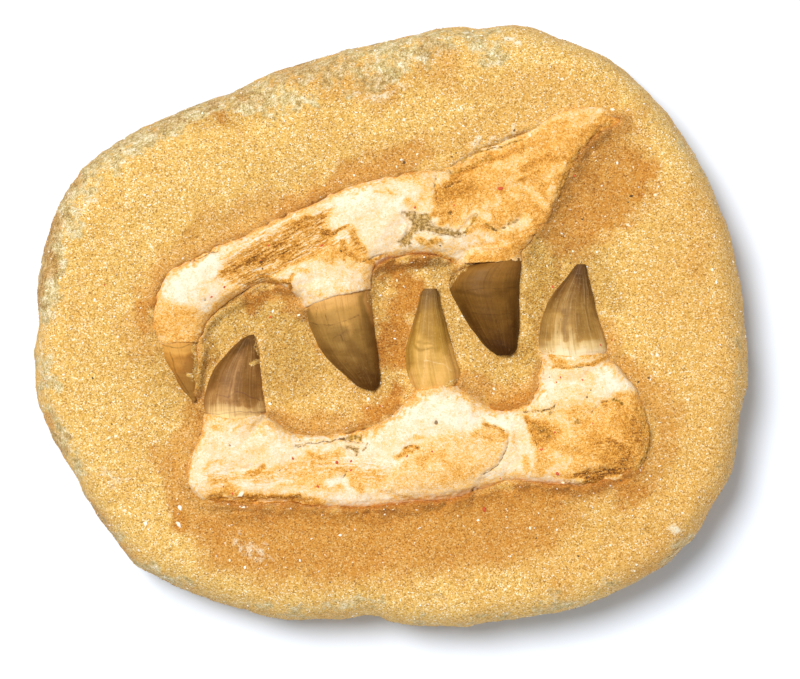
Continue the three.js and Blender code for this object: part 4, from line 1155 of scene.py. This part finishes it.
def sandstone():
    """Coarse desert sandstone: matt amber grains of many tones, browner with iron, grey where weathered."""
    material, tree, shader, place = surface("coarse_sandstone", Roughness=0.92)
    cells = add(tree, "ShaderNodeTexVoronoi", {"Vector": place, "Scale": 1 / GRAIN})
    tone = add(tree, "ShaderNodeSeparateColor", {0: cells.outputs["Color"]})
    colour = add(tree, "ShaderNodeValToRGB", {0: tone}, stops=SAND_TONES)
    patches, mottle, skin, patchy = (
        add(tree, "ShaderNodeTexNoise", {
            "Vector": place, "Scale": scale, "Detail": detail, "Roughness": rough})
        for scale, detail, rough in ((0.05, 5, 0.65), (0.5, 3, 0.65), (0.35, 7, 0.85), (0.16, 6, 0.75)))
    broad = add(tree, "ShaderNodeMapRange", {0: patches, 1: 0.48, 2: 0.7, 4: 0.5})
    colour = over(tree, broad, colour, "#f1dfc2", "MULTIPLY")
    dimmer = add(tree, "ShaderNodeMapRange", {0: mottle, 1: 0.55, 2: 0.35, 4: 0.5})
    colour = over(tree, dimmer, colour, "#e8d8b8", "MULTIPLY")
    olive = broken_share(tree, "olive", mottle, 1.0, 1.3)
    colour = over(tree, olive, colour, "#e4dabc", "MULTIPLY")
    rough_tone = add(tree, "ShaderNodeMapRange", {0: tone.outputs[1], 1: 0.45, 2: 0.1, 4: 0.7})
    rough_part = add(tree, "ShaderNodeMath", {0: rough_tone, 1: olive}, operation="MULTIPLY")
    colour = over(tree, rough_part, colour, "#a38a5c", "MULTIPLY")
    weathered = add(tree, "ShaderNodeValToRGB", {0: skin}, stops=[
        (0.38, "#8c7242"), (0.45, "#b8a062"), (0.5, "#ccbb80"), (0.54, "#e0d2a4"), (0.6, "#f7f1dc")])
    crust = broken_share(tree, "crust", patchy, 4.0, 2.4, 0.88)
    speckle = add(tree, "ShaderNodeMapRange", {0: tone.outputs[1], 1: 0.6, 2: 0.0, 4: 0.8})
    weathered = over(tree, speckle, weathered, "#a38a5c", "MULTIPLY")
    glint = add(tree, "ShaderNodeMapRange", {0: tone.outputs[1], 1: 0.84, 2: 1.0, 4: 0.6})
    weathered = over(tree, glint, weathered, "#f6ecd0")
    colour = over(tree, crust, colour, weathered)
    rust_and_shade = broken_share(tree, "rust_and_shade", mottle, 0.9, 1.1)
    colour = over(tree, rust_and_shade, colour, "#dfba80", "MULTIPLY")
    pale = broken_share(tree, "pale", skin, 3.0, 2.0)
    colour = over(tree, pale, colour, "#e9dfc3")
    # painted contact shade where the sand meets the fossil
    colour = over(tree, share_of(tree, "close", 0.2), colour, "#c79a5c", "MULTIPLY")
    # Darker down the rim: weathering and painted shade of the curving side, lightest on the lower right as
    # painted light.
    rim = add(tree, "ShaderNodeAttribute", attribute_name="rim")
    rim_part = add(tree, "ShaderNodeMapRange", {0: rim.outputs["Fac"], 1: 0.08, 2: 0.5, 4: 0.6})
    colour = over(tree, rim_part, colour, "#ead5a2", "MULTIPLY")
    feed(tree, shader.inputs["Base Color"], colour)
    grain_bump = add(tree, "ShaderNodeBump", {
        "Height": cells.outputs["Distance"], "Strength": 0.28, "Distance": 0.00015}, invert=True)
    lumpy = add(tree, "ShaderNodeBump", {"Height": mottle, "Strength": 0.3, "Distance": 0.0005,
                                         "Normal": grain_bump})
    feed(tree, shader.inputs["Normal"], lumpy)
    return material


def grain_material(name, stops, roughness):
    """Loose quartz, iron and shell grains: small, a little glossier than the stone, each of its own tone."""
    material, tree, shader, _ = surface(name, Roughness=roughness)
    tone = add(tree, "ShaderNodeAttribute", attribute_name="tone")
    ramp = add(tree, "ShaderNodeValToRGB", {0: tone.outputs["Fac"]}, stops=stops)
    feed(tree, shader.inputs["Base Color"], ramp)
    return material


def fossil_bone(name, run):
    """Fossil bone: chalky cream and matt, brown and fibrous where its skin is worn, with dark cracks."""
    material, tree, shader, place = surface(name, Roughness=0.8, Specular_IOR_Level=0.3)
    turned = add(tree, "ShaderNodeMapping", {"Vector": place, "Rotation": (0, 0, -run)})
    stretched = add(tree, "ShaderNodeVectorMath", {0: turned, 1: (0.1, 1.0, 1.0)}, operation="MULTIPLY")
    bent = add(tree, "ShaderNodeTexNoise", {"Vector": place, "Scale": 0.25, "Detail": 2})
    bending = add(tree, "ShaderNodeVectorMath", {0: bent.outputs["Color"], 1: (1.2, 2.4, 0.0), 2: stretched},
                  operation="MULTIPLY_ADD")
    scratched = add(tree, "ShaderNodeMapping", {
        "Vector": place, "Rotation": (0, 0, -SCORED_RUN), "Scale": (0.14, 1, 1)}, vector_type="TEXTURE")
    strands, clouds, specks, scores = (
        add(tree, "ShaderNodeTexNoise", {
            "Vector": where, "Scale": scale, "Detail": detail, "Roughness": rough})
        for where, scale, detail, rough in (
            (bending, 1.5, 5, 0.7), (place, 0.3, 4, 0.6), (place, 0.95, 4, 0.72), (scratched, 1.3, 4, 0.7)))
    tone = share_of(tree, "tone", 0.5)
    strength = add(tree, "ShaderNodeMath", {0: tone, 1: 0.7, 2: 0.3}, operation="MULTIPLY_ADD")
    grains = add(tree, "ShaderNodeTexVoronoi", {"Vector": place, "Scale": 1 / GRAIN})
    grain_tone = add(tree, "ShaderNodeSeparateColor", {0: grains.outputs["Color"]})
    rough = add(tree, "ShaderNodeMath", {0: tone, 1: 0.6, 2: 0.08}, operation="MULTIPLY_ADD")
    dot = add(tree, "ShaderNodeMapRange", {0: grain_tone.outputs[1], 1: 0.86, 2: 1.0, 4: 0.14})
    tone = add(tree, "ShaderNodeMath", {0: tone, 1: dot}, operation="ADD")
    for pattern, gain in ((specks, strength), (clouds, 0.34), (strands, share_of(tree, "worn", 2.1)),
                          (grain_tone, rough), (scores, share_of(tree, "scored", 0.9))):
        centred = add(tree, "ShaderNodeMath", {0: pattern, 1: 0.5}, operation="SUBTRACT")
        tone = add(tree, "ShaderNodeMath", {0: centred, 1: gain, 2: tone}, operation="MULTIPLY_ADD")
    colour = add(tree, "ShaderNodeValToRGB", {0: tone}, stops=[
        (0, "#eee2cb"), (0.05, "#edd9b8"), (0.1, "#ebcfa6"), (0.17, "#eac790"), (0.26, "#e9b869"),
        (0.35, "#e2a74b"), (0.45, "#d39034"), (0.58, "#ba7c28"), (0.74, "#965e1a"), (1, "#5e3810")])
    grey_tone = add(tree, "ShaderNodeValToRGB", {0: specks}, stops=[
        (0.36, "#c89a34"), (0.5, "#9c7420"), (0.62, "#5f430c")])
    grey = broken_share(tree, "grey", specks, 1.5, 1.7, 0.9)
    colour = over(tree, grey, colour, grey_tone)
    crack = add(tree, "ShaderNodeAttribute", attribute_name="crack")
    thickness = add(tree, "ShaderNodeMapRange", {0: specks, 1: 0.35, 2: 0.65, 3: 0.05, 4: 0.4})
    cracked = add(tree, "ShaderNodeMath", {0: thickness, 1: crack.outputs["Fac"]}, operation="SUBTRACT")
    line = add(tree, "ShaderNodeMath", {0: cracked, 1: 5.0, 2: 0.1}, operation="MULTIPLY_ADD", use_clamp=True)
    line_part = add(tree, "ShaderNodeMath", {0: line, 1: 0.8}, operation="MULTIPLY")
    colour = over(tree, line_part, colour, "#5a3c18")
    feed(tree, shader.inputs["Base Color"], colour)
    fibre_bump = add(tree, "ShaderNodeBump", {
        "Height": strands, "Strength": share_of(tree, "worn", 0.8), "Distance": 0.0007})
    fine_bump = add(tree, "ShaderNodeBump", {
        "Height": specks, "Strength": 0.45, "Distance": 0.0005, "Normal": fibre_bump})
    grain_bump = add(tree, "ShaderNodeBump", {
        "Height": grains.outputs["Distance"], "Strength": share_of(tree, "tone", 0.35), "Distance": 0.0002,
        "Normal": fine_bump}, invert=True)
    feed(tree, shader.inputs["Normal"], grain_bump)
    return material


# Each crown's colours from the gum line to the tip, and the tints of its streaks and cracks; the dark tint
# also paints shade down the crown's right-hand side, in the share given.
ENAMEL = {
    "upper_tooth_front": dict(
        along=[(0, "#d69e4c"), (0.22, "#c88e3e"), (0.5, "#a67232"), (0.9, "#946a2e")],
        streak_and_shade_tint="#b98a50", streak="#d09a50", painted_shade_share=0.2),
    "upper_tooth_middle": dict(
        along=[(0, "#e0ab62"), (0.14, "#cc9a50"), (0.34, "#9c7538"), (0.6, "#7a5624"), (0.9, "#5c3a10")],
        streak_and_shade_tint="#9a7c4c", streak="#bd975c", painted_shade_share=0.35),
    "upper_tooth_back": dict(
        along=[(0, "#8f6228"), (0.25, "#835a22"), (0.5, "#6f4a18"), (0.75, "#5a380e"), (1, "#452706")],
        streak_and_shade_tint="#8d6f4a", streak="#a07840", painted_shade_share=0.15),
    "lower_tooth_front": dict(
        along=[(0, "#ecca88"), (0.1, "#d2aa6c"), (0.22, "#a67840"), (0.5, "#8b602e"), (0.8, "#785020"),
               (1, "#5c3c14")],
        streak_and_shade_tint="#94705c", streak="#d6ae7c", streak_share=0.5, crack_colour="#5a2430"),
    "lower_tooth_middle": dict(
        along=[(0, "#e1af5f"), (0.3, "#d4a552"), (0.6, "#b08434"), (0.85, "#946c2c"), (1, "#7c5a2c")],
        streak_and_shade_tint="#b08e52", streak="#ecc98a", streak_share=0.5, crack_colour="#ecd09a"),
    "lower_tooth_back": dict(
        along=[(0, "#efd8ae"), (0.12, "#dcbc80"), (0.3, "#b38946"), (0.55, "#946d34"), (0.85, "#765022"),
               (1, "#5e3d18")],
        streak_and_shade_tint="#9a7e52", streak="#e0c590", streak_share=0.5),
}


def enamel(name, along, streak_and_shade_tint, streak, streak_share=0.3, painted_shade_share=0.0, crack_colour="#3c2008"):
    """Fossil enamel: smooth and satiny, browner to the tip, with fine lines, growth bands and cracks, and
    painted shade down its right-hand side.
    """
    material, tree, shader, place = surface("enamel_" + name, Roughness=0.5, Specular_IOR_Level=0.13)
    uv = add(tree, "ShaderNodeTexCoord").outputs["UV"]
    parts = add(tree, "ShaderNodeSeparateXYZ", {0: uv})
    striped = add(tree, "ShaderNodeVectorMath", {0: uv, 1: (80.0, 2.0, 1.0)}, operation="MULTIPLY")
    ringed = add(tree, "ShaderNodeVectorMath", {0: uv, 1: (2.4, 16.0, 1.0)}, operation="MULTIPLY")
    lines, bands, clouds, grime = (
        add(tree, "ShaderNodeTexNoise", {
            "Vector": where, "Scale": scale, "Detail": detail, "Roughness": rough})
        for where, scale, detail, rough in (
            (striped, 1, 4, 0.65), (ringed, 1, 3, 0.55), (place, 0.12, 3, 0.5), (place, 1.1, 4, 0.75)))
    wave = add(tree, "ShaderNodeMath", {0: clouds, 1: 0.3, 2: parts.outputs[1]}, operation="MULTIPLY_ADD")
    shade = add(tree, "ShaderNodeAttribute", attribute_name="shade").outputs["Fac"]
    streaky = add(tree, "ShaderNodeMapRange", {0: lines, 1: 0.3, 2: 0.7, 3: 0.7, 4: 1.3})
    shift = add(tree, "ShaderNodeMath", {0: shade, 1: streaky, 2: -0.15}, operation="MULTIPLY_ADD")
    place_along = add(tree, "ShaderNodeMath", {0: wave, 1: shift}, operation="ADD")
    colour = add(tree, "ShaderNodeValToRGB", {0: place_along}, stops=along)
    for pattern, start, end, most, tint, blend in (
            (lines, 0.53, 0.75, 0.8 * streak_share, streak, "MIX"),
            (lines, 0.48, 0.3, 0.32, streak_and_shade_tint, "MULTIPLY"),
            (bands, 0.45, 0.65, 0.2, streak_and_shade_tint, "MULTIPLY"),
            (grime, 0.58, 0.75, 0.35, streak, "MIX"),
            (grime, 0.45, 0.3, 0.3, streak_and_shade_tint, "MULTIPLY")):
        part = add(tree, "ShaderNodeMapRange", {0: pattern, 1: start, 2: end, 4: most})
        colour = over(tree, part, colour, tint, blend)
    # Painted shade: the crown's right-hand side, away from the key light, is darkened by the dark tint.
    side = add(tree, "ShaderNodeMath", {0: parts, 1: 2 * math.pi}, operation="MULTIPLY")
    turn = add(tree, "ShaderNodeMath", {0: side}, operation="COSINE")
    darker = 1 if name.startswith("lower") else -1  # the tooth's first or second edge, whichever is its right-hand one, away from the key light
    away = add(tree, "ShaderNodeMapRange", {0: turn, 1: darker * 0.1, 2: darker * 0.95, 4: painted_shade_share})
    colour = over(tree, away, colour, streak_and_shade_tint, "MULTIPLY")
    crack = add(tree, "ShaderNodeAttribute", attribute_name="crack")
    line = add(tree, "ShaderNodeMapRange", {0: crack.outputs["Fac"], 1: 0.06, 2: 0.32, 3: 1.0, 4: 0.0})
    faint = add(tree, "ShaderNodeMapRange", {0: grime, 1: 0.35, 2: 0.65, 3: 0.1, 4: 0.7})
    line_part = add(tree, "ShaderNodeMath", {0: line, 1: faint}, operation="MULTIPLY")
    colour = over(tree, line_part, colour, crack_colour)
    cells = add(tree, "ShaderNodeTexVoronoi", {"Vector": place, "Scale": 1 / GRAIN})
    sand = add(tree, "ShaderNodeSeparateColor", {0: cells.outputs["Color"]})
    sand_colour = add(tree, "ShaderNodeValToRGB", {0: sand}, stops=SAND_TONES)
    colour = over(tree, broken_share(tree, "sandy", grime, 3.0, 2.5, 0.9), colour, sand_colour)
    feed(tree, shader.inputs["Base Color"], colour)
    bump = add(tree, "ShaderNodeBump", {"Height": lines, "Strength": 0.3, "Distance": 0.0004})
    ring_bump = add(tree, "ShaderNodeBump", {
        "Height": bands, "Strength": 0.25, "Distance": 0.0005, "Normal": bump})
    feed(tree, shader.inputs["Normal"], ring_bump)
    return material


# Loose grains

def scatter(ground, name, label, density, size, stretch, seed, material):
    """Angular grains strewn by Geometry Nodes where a piece's label is high, as one plain mesh."""
    tree = bpy.data.node_groups.new(name, "GeometryNodeTree")
    for socket, kind, way in (
            ("ground", "NodeSocketGeometry", "INPUT"),
            ("grains_per_square_metre", "NodeSocketFloat", "INPUT"),
            ("grain_size", "NodeSocketFloat", "INPUT"),
            ("grains", "NodeSocketGeometry", "OUTPUT")):
        tree.interface.new_socket(socket, in_out=way, socket_type=kind)
    given = add(tree, "NodeGroupInput")
    where = add(tree, "GeometryNodeInputNamedAttribute", {"Name": label}, data_type="FLOAT")
    density_here = add(tree, "ShaderNodeMath", {0: where, 1: given.outputs[1]}, operation="MULTIPLY")
    points = add(tree, "GeometryNodeDistributePointsOnFaces", {
        "Mesh": given, "Density": density_here, "Seed": seed})
    grain = add(tree, "GeometryNodeMeshUVSphere", {"Segments": 4, "Rings": 2, "Radius": 0.5})
    turned = add(tree, "FunctionNodeRandomValue", {0: (0, 0, 0), 1: (6.3, 6.3, 6.3), "Seed": seed + 1},
                 data_type="FLOAT_VECTOR")
    shape = add(tree, "FunctionNodeRandomValue", {0: stretch[0], 1: stretch[1], "Seed": seed + 2},
                data_type="FLOAT_VECTOR")
    scaled = add(tree, "ShaderNodeVectorMath", {0: shape, "Scale": given.outputs[2]}, operation="SCALE")
    placed = add(tree, "GeometryNodeInstanceOnPoints", {
        "Points": points, "Instance": grain, "Rotation": turned, "Scale": scaled})
    tone = add(tree, "FunctionNodeRandomValue", {2: 0.0, 3: 1.0, "Seed": seed + 3}, data_type="FLOAT")
    toned = add(tree, "GeometryNodeStoreNamedAttribute", {
        "Geometry": placed, "Name": "tone", "Value": tone.outputs[1]}, data_type="FLOAT", domain="INSTANCE")
    real = add(tree, "GeometryNodeRealizeInstances", {0: toned})
    finished = add(tree, "GeometryNodeSetMaterial", {"Geometry": real, "Material": material})
    add(tree, "NodeGroupOutput", {0: finished})

    carrier = linked(name, ground.data.copy())
    modifier = carrier.modifiers.new("strewn", "NODES")
    modifier.node_group = tree
    sockets = {item.name: item.identifier for item in tree.interface.items_tree if item.in_out == "INPUT"}
    modifier[sockets["grains_per_square_metre"]] = density * 1e6
    modifier[sockets["grain_size"]] = size * MM
    settle(carrier)
    place_piece(carrier)


# Single chips and specks that catch the eye: pixel place and size in millimetres.
SHELL_CHIPS = [
    (180, 507, 1.9), (146, 524, 1.6), (179, 524, 1.7), (404, 120, 1.3), (432, 129, 1.5), (655, 195, 1.7),
    (637, 336, 1.4), (657, 355, 1.7), (242, 493, 2.2), (118, 337, 1.3), (202, 113, 1.2), (152, 247, 1.4),
    (109, 438, 1.4), (116, 436, 1.2), (125, 510, 1.4), (270, 404, 1.3), (368, 399, 1.3), (494, 389, 1.2),
    (458, 319, 1.3), (462, 316, 1.1), (440, 284, 1.1), (597, 252, 1.1), (628, 225, 1.6), (617, 163, 1.1),
    (244, 507, 1.3), (530, 136, 1.6), (563, 482, 1.6), (612, 110, 1.5), (260, 340, 1.1), (273, 311, 1.2),
    (299, 315, 1.2), (397, 280, 1.1), (150, 205, 1.1), (85, 205, 1), (655, 372, 1), (712, 270, 1.3),
    (716, 282, 1.2), (478, 520, 1.1), (530, 528, 1.2), (230, 560, 1.1), (245, 567, 1.2), (420, 605, 0.9),
    (610, 545, 0.9), (340, 535, 1.2), (300, 560, 1), (95, 300, 1.1), (140, 275, 1), (170, 190, 1.1),
    (250, 165, 1),
]
RED_SPECKS = [
    (500, 189, 1.7), (270, 317, 1), (553, 287, 1.1), (484, 509, 1.6), (322, 246, 1.2), (212, 297, 0.9),
    (337, 462, 1.3), (351, 461, 1), (351, 470, 0.9), (549, 377, 0.7), (560, 377, 0.8), (582, 380, 0.9),
    (556, 382, 0.7), (541, 449, 1.1), (557, 473, 1.5), (225, 287, 1), (415, 208, 0.9), (269, 246, 0.9),
    (318, 486, 1), (233, 493, 0.8), (224, 486, 0.8), (293, 458, 0.9), (574, 176, 0.9), (592, 423, 0.8),
    (261, 261, 0.8), (432, 451, 0.8), (454, 206, 0.7), (554, 432, 0.8), (500, 478, 0.6), (407, 456, 0.9),
    (380, 406, 0.8), (600, 345, 0.8), (612, 340, 0.7), (105, 285, 0.7),
]
DARK_SPECKS = [
    (404, 163, 1.5), (452, 157, 0.8), (456, 153, 0.7), (261, 262, 1), (263, 269, 0.7), (341, 251, 0.9),
    (450, 187, 0.7), (582, 219, 1), (562, 236, 0.7), (638, 382, 0.9), (648, 378, 0.8), (514, 131, 0.9),
    (631, 196, 1.2), (628, 202, 0.8), (280, 470, 0.5), (215, 325, 0.7), (440, 246, 0.8), (536, 538, 0.8),
    (578, 556, 0.9), (330, 582, 0.8), (112, 424, 0.8), (93, 378, 0.9), (120, 150, 0.8), (300, 440, 0.5),
    (620, 480, 0.8), (190, 488, 0.8), (590, 390, 0.6),
]


def chips(name, marks, ground, flatness, material, seed):
    """Small angular bits, each at its own place on the ground, as one mesh."""
    random = np.random.default_rng(seed)
    points, faces, tones = [], [], []
    for x, y, size in marks:
        px, py = on_slab((x, y))
        top = top_at(ground, px, py)
        start, spin = len(points), random.uniform(0, 2 * math.pi)
        corners = []
        for k in range(6):
            out = size / 2 * random.uniform(0.7, 1.25) * (1.25 if k % 3 == 0 else 0.85)
            corners.append((out * math.cos(spin + k * math.pi / 3), out * math.sin(spin + k * math.pi / 3)))
        for level, part in ((-0.5, 0.9), (0.1, 1), (0.55, 0.6)):
            for cx, cy in corners:
                lift = size * flatness * (level + random.uniform(-0.1, 0.1))
                points.append((top.x + cx * part, top.y + cy * part, top.z + lift))
        faces.append([start + k for k in range(5, -1, -1)])
        for ring in (start, start + 6):
            faces += [[ring + k, ring + (k + 1) % 6, ring + 6 + (k + 1) % 6, ring + 6 + k] for k in range(6)]
        faces.append([start + 12 + k for k in range(6)])
        tones += [random.uniform(0, 1)] * 18
    piece = new_piece(name, points, faces, {"tone": tones}, material=material)
    piece.data.polygons.foreach_set("use_smooth", [False] * len(piece.data.polygons))


# Assembly

teeth = {name: crown(name) for name in TOOTH_EDGES}
jaws = {}
for side, run in FIBRE_RUN.items():
    jaws[side + "_jaw"] = bone(side + "_jaw", run, [tooth for tooth in teeth if tooth.startswith(side)])
stone = slab(tree_of(*teeth.values(), *jaws.values()), tree_of(*jaws.values()))

for name, piece in teeth.items():
    piece.data.materials.append(enamel(name, **ENAMEL[name]))
for side, run in FIBRE_RUN.items():
    jaws[side + "_jaw"].data.materials.append(fossil_bone("fossil_bone_" + side, run))
stone.data.materials.append(sandstone())

amber_tones = [(0, "#b5853c"), (0.3, "#cc9c4c"), (0.7, "#dfb666"), (1, "#eccf94")]
dark_tones = [(0, "#6b4a22"), (0.6, "#946a30"), (0.9, "#a97b3a"), (1, "#a8502a")]
amber = grain_material("quartz_grains", amber_tones, 0.6)
dark = grain_material("iron_grains", dark_tones, 0.7)
white = grain_material("shell_flecks", [(0, "#efdfb8"), (0.5, "#f6edd6"), (1, "#fcf9f2")], 0.5)
red = grain_material("red_iron_specks", [(0, "#b8441c"), (1, "#d8562a")], 0.6)
pebble = grain_material("dark_pebbles", [(0, "#4a3418"), (1, "#6e5228")], 0.7)
uneven = ((0.6, 0.6, 0.6), (1.3, 1.3, 1.2))
flat = ((0.5, 0.5, 0.3), (1.7, 1.2, 0.7))
scatter(stone, "sand_grains", "open", 0.4, 0.5, uneven, 4, amber)
scatter(stone, "dark_grains", "open", 0.05, 0.5, uneven, 14, dark)
scatter(stone, "shell_flecks", "open", 0.02, 1.05, flat, 24, white)
for label, piece in {**jaws, **teeth}.items():
    scatter(piece, "sand_on_" + label, "sandy", 0.7, 0.5, uneven, 34, amber)
top = tree_of(stone, *teeth.values(), *jaws.values())
chips("shell_chips", SHELL_CHIPS, top, 0.35, white, 5)
chips("red_specks", RED_SPECKS, top, 0.4, red, 6)
chips("dark_specks", DARK_SPECKS, top, 0.5, pebble, 7)

# Floor, light and camera

FLOOR = 4.0  # metres from the middle to an edge
floor_mesh = bpy.data.meshes.new("floor")
corners = [(-FLOOR, -FLOOR, 0), (FLOOR, -FLOOR, 0), (FLOOR, FLOOR, 0), (-FLOOR, FLOOR, 0)]
floor_mesh.from_pydata(corners, [], [[0, 1, 2, 3]])
floor_mesh.materials.append(surface("white_paper", Base_Color=linear("#e6eefa"), Roughness=0.95)[0])
linked("floor", floor_mesh)

world = bpy.data.worlds.new("studio")
bpy.context.scene.world = world
world.use_nodes = True
world.node_tree.nodes["Background"].inputs[0].default_value = linear("#f8fbff")
world.node_tree.nodes["Background"].inputs[1].default_value = 0.36


def lamp(name, towards, strength, spread, colour):
    """A distant soft lamp that shines the given way."""
    light = bpy.data.lights.new(name, "SUN")
    light.energy, light.angle, light.color = strength, math.radians(spread), linear(colour)[:3]
    linked(name, light).rotation_euler = Vector(towards).to_track_quat("-Z", "Y").to_euler()


lamp("key", (0.33, -0.30, -1.0), 3.42, 24, "#fffdfa")
lamp("fill", (-0.8, 0.6, -0.12), 0.9, 24, "#fff7ec")

camera = linked("camera", bpy.data.cameras.new("camera"))
camera.location = (*(VIEW_CENTRE * MM), VIEW_HEIGHT * MM)
camera.data.sensor_width = 36
camera.data.lens = 250
camera.data.clip_end = 20
bpy.context.scene.camera = camera
bpy.context.scene.view_settings.view_transform = "Standard"
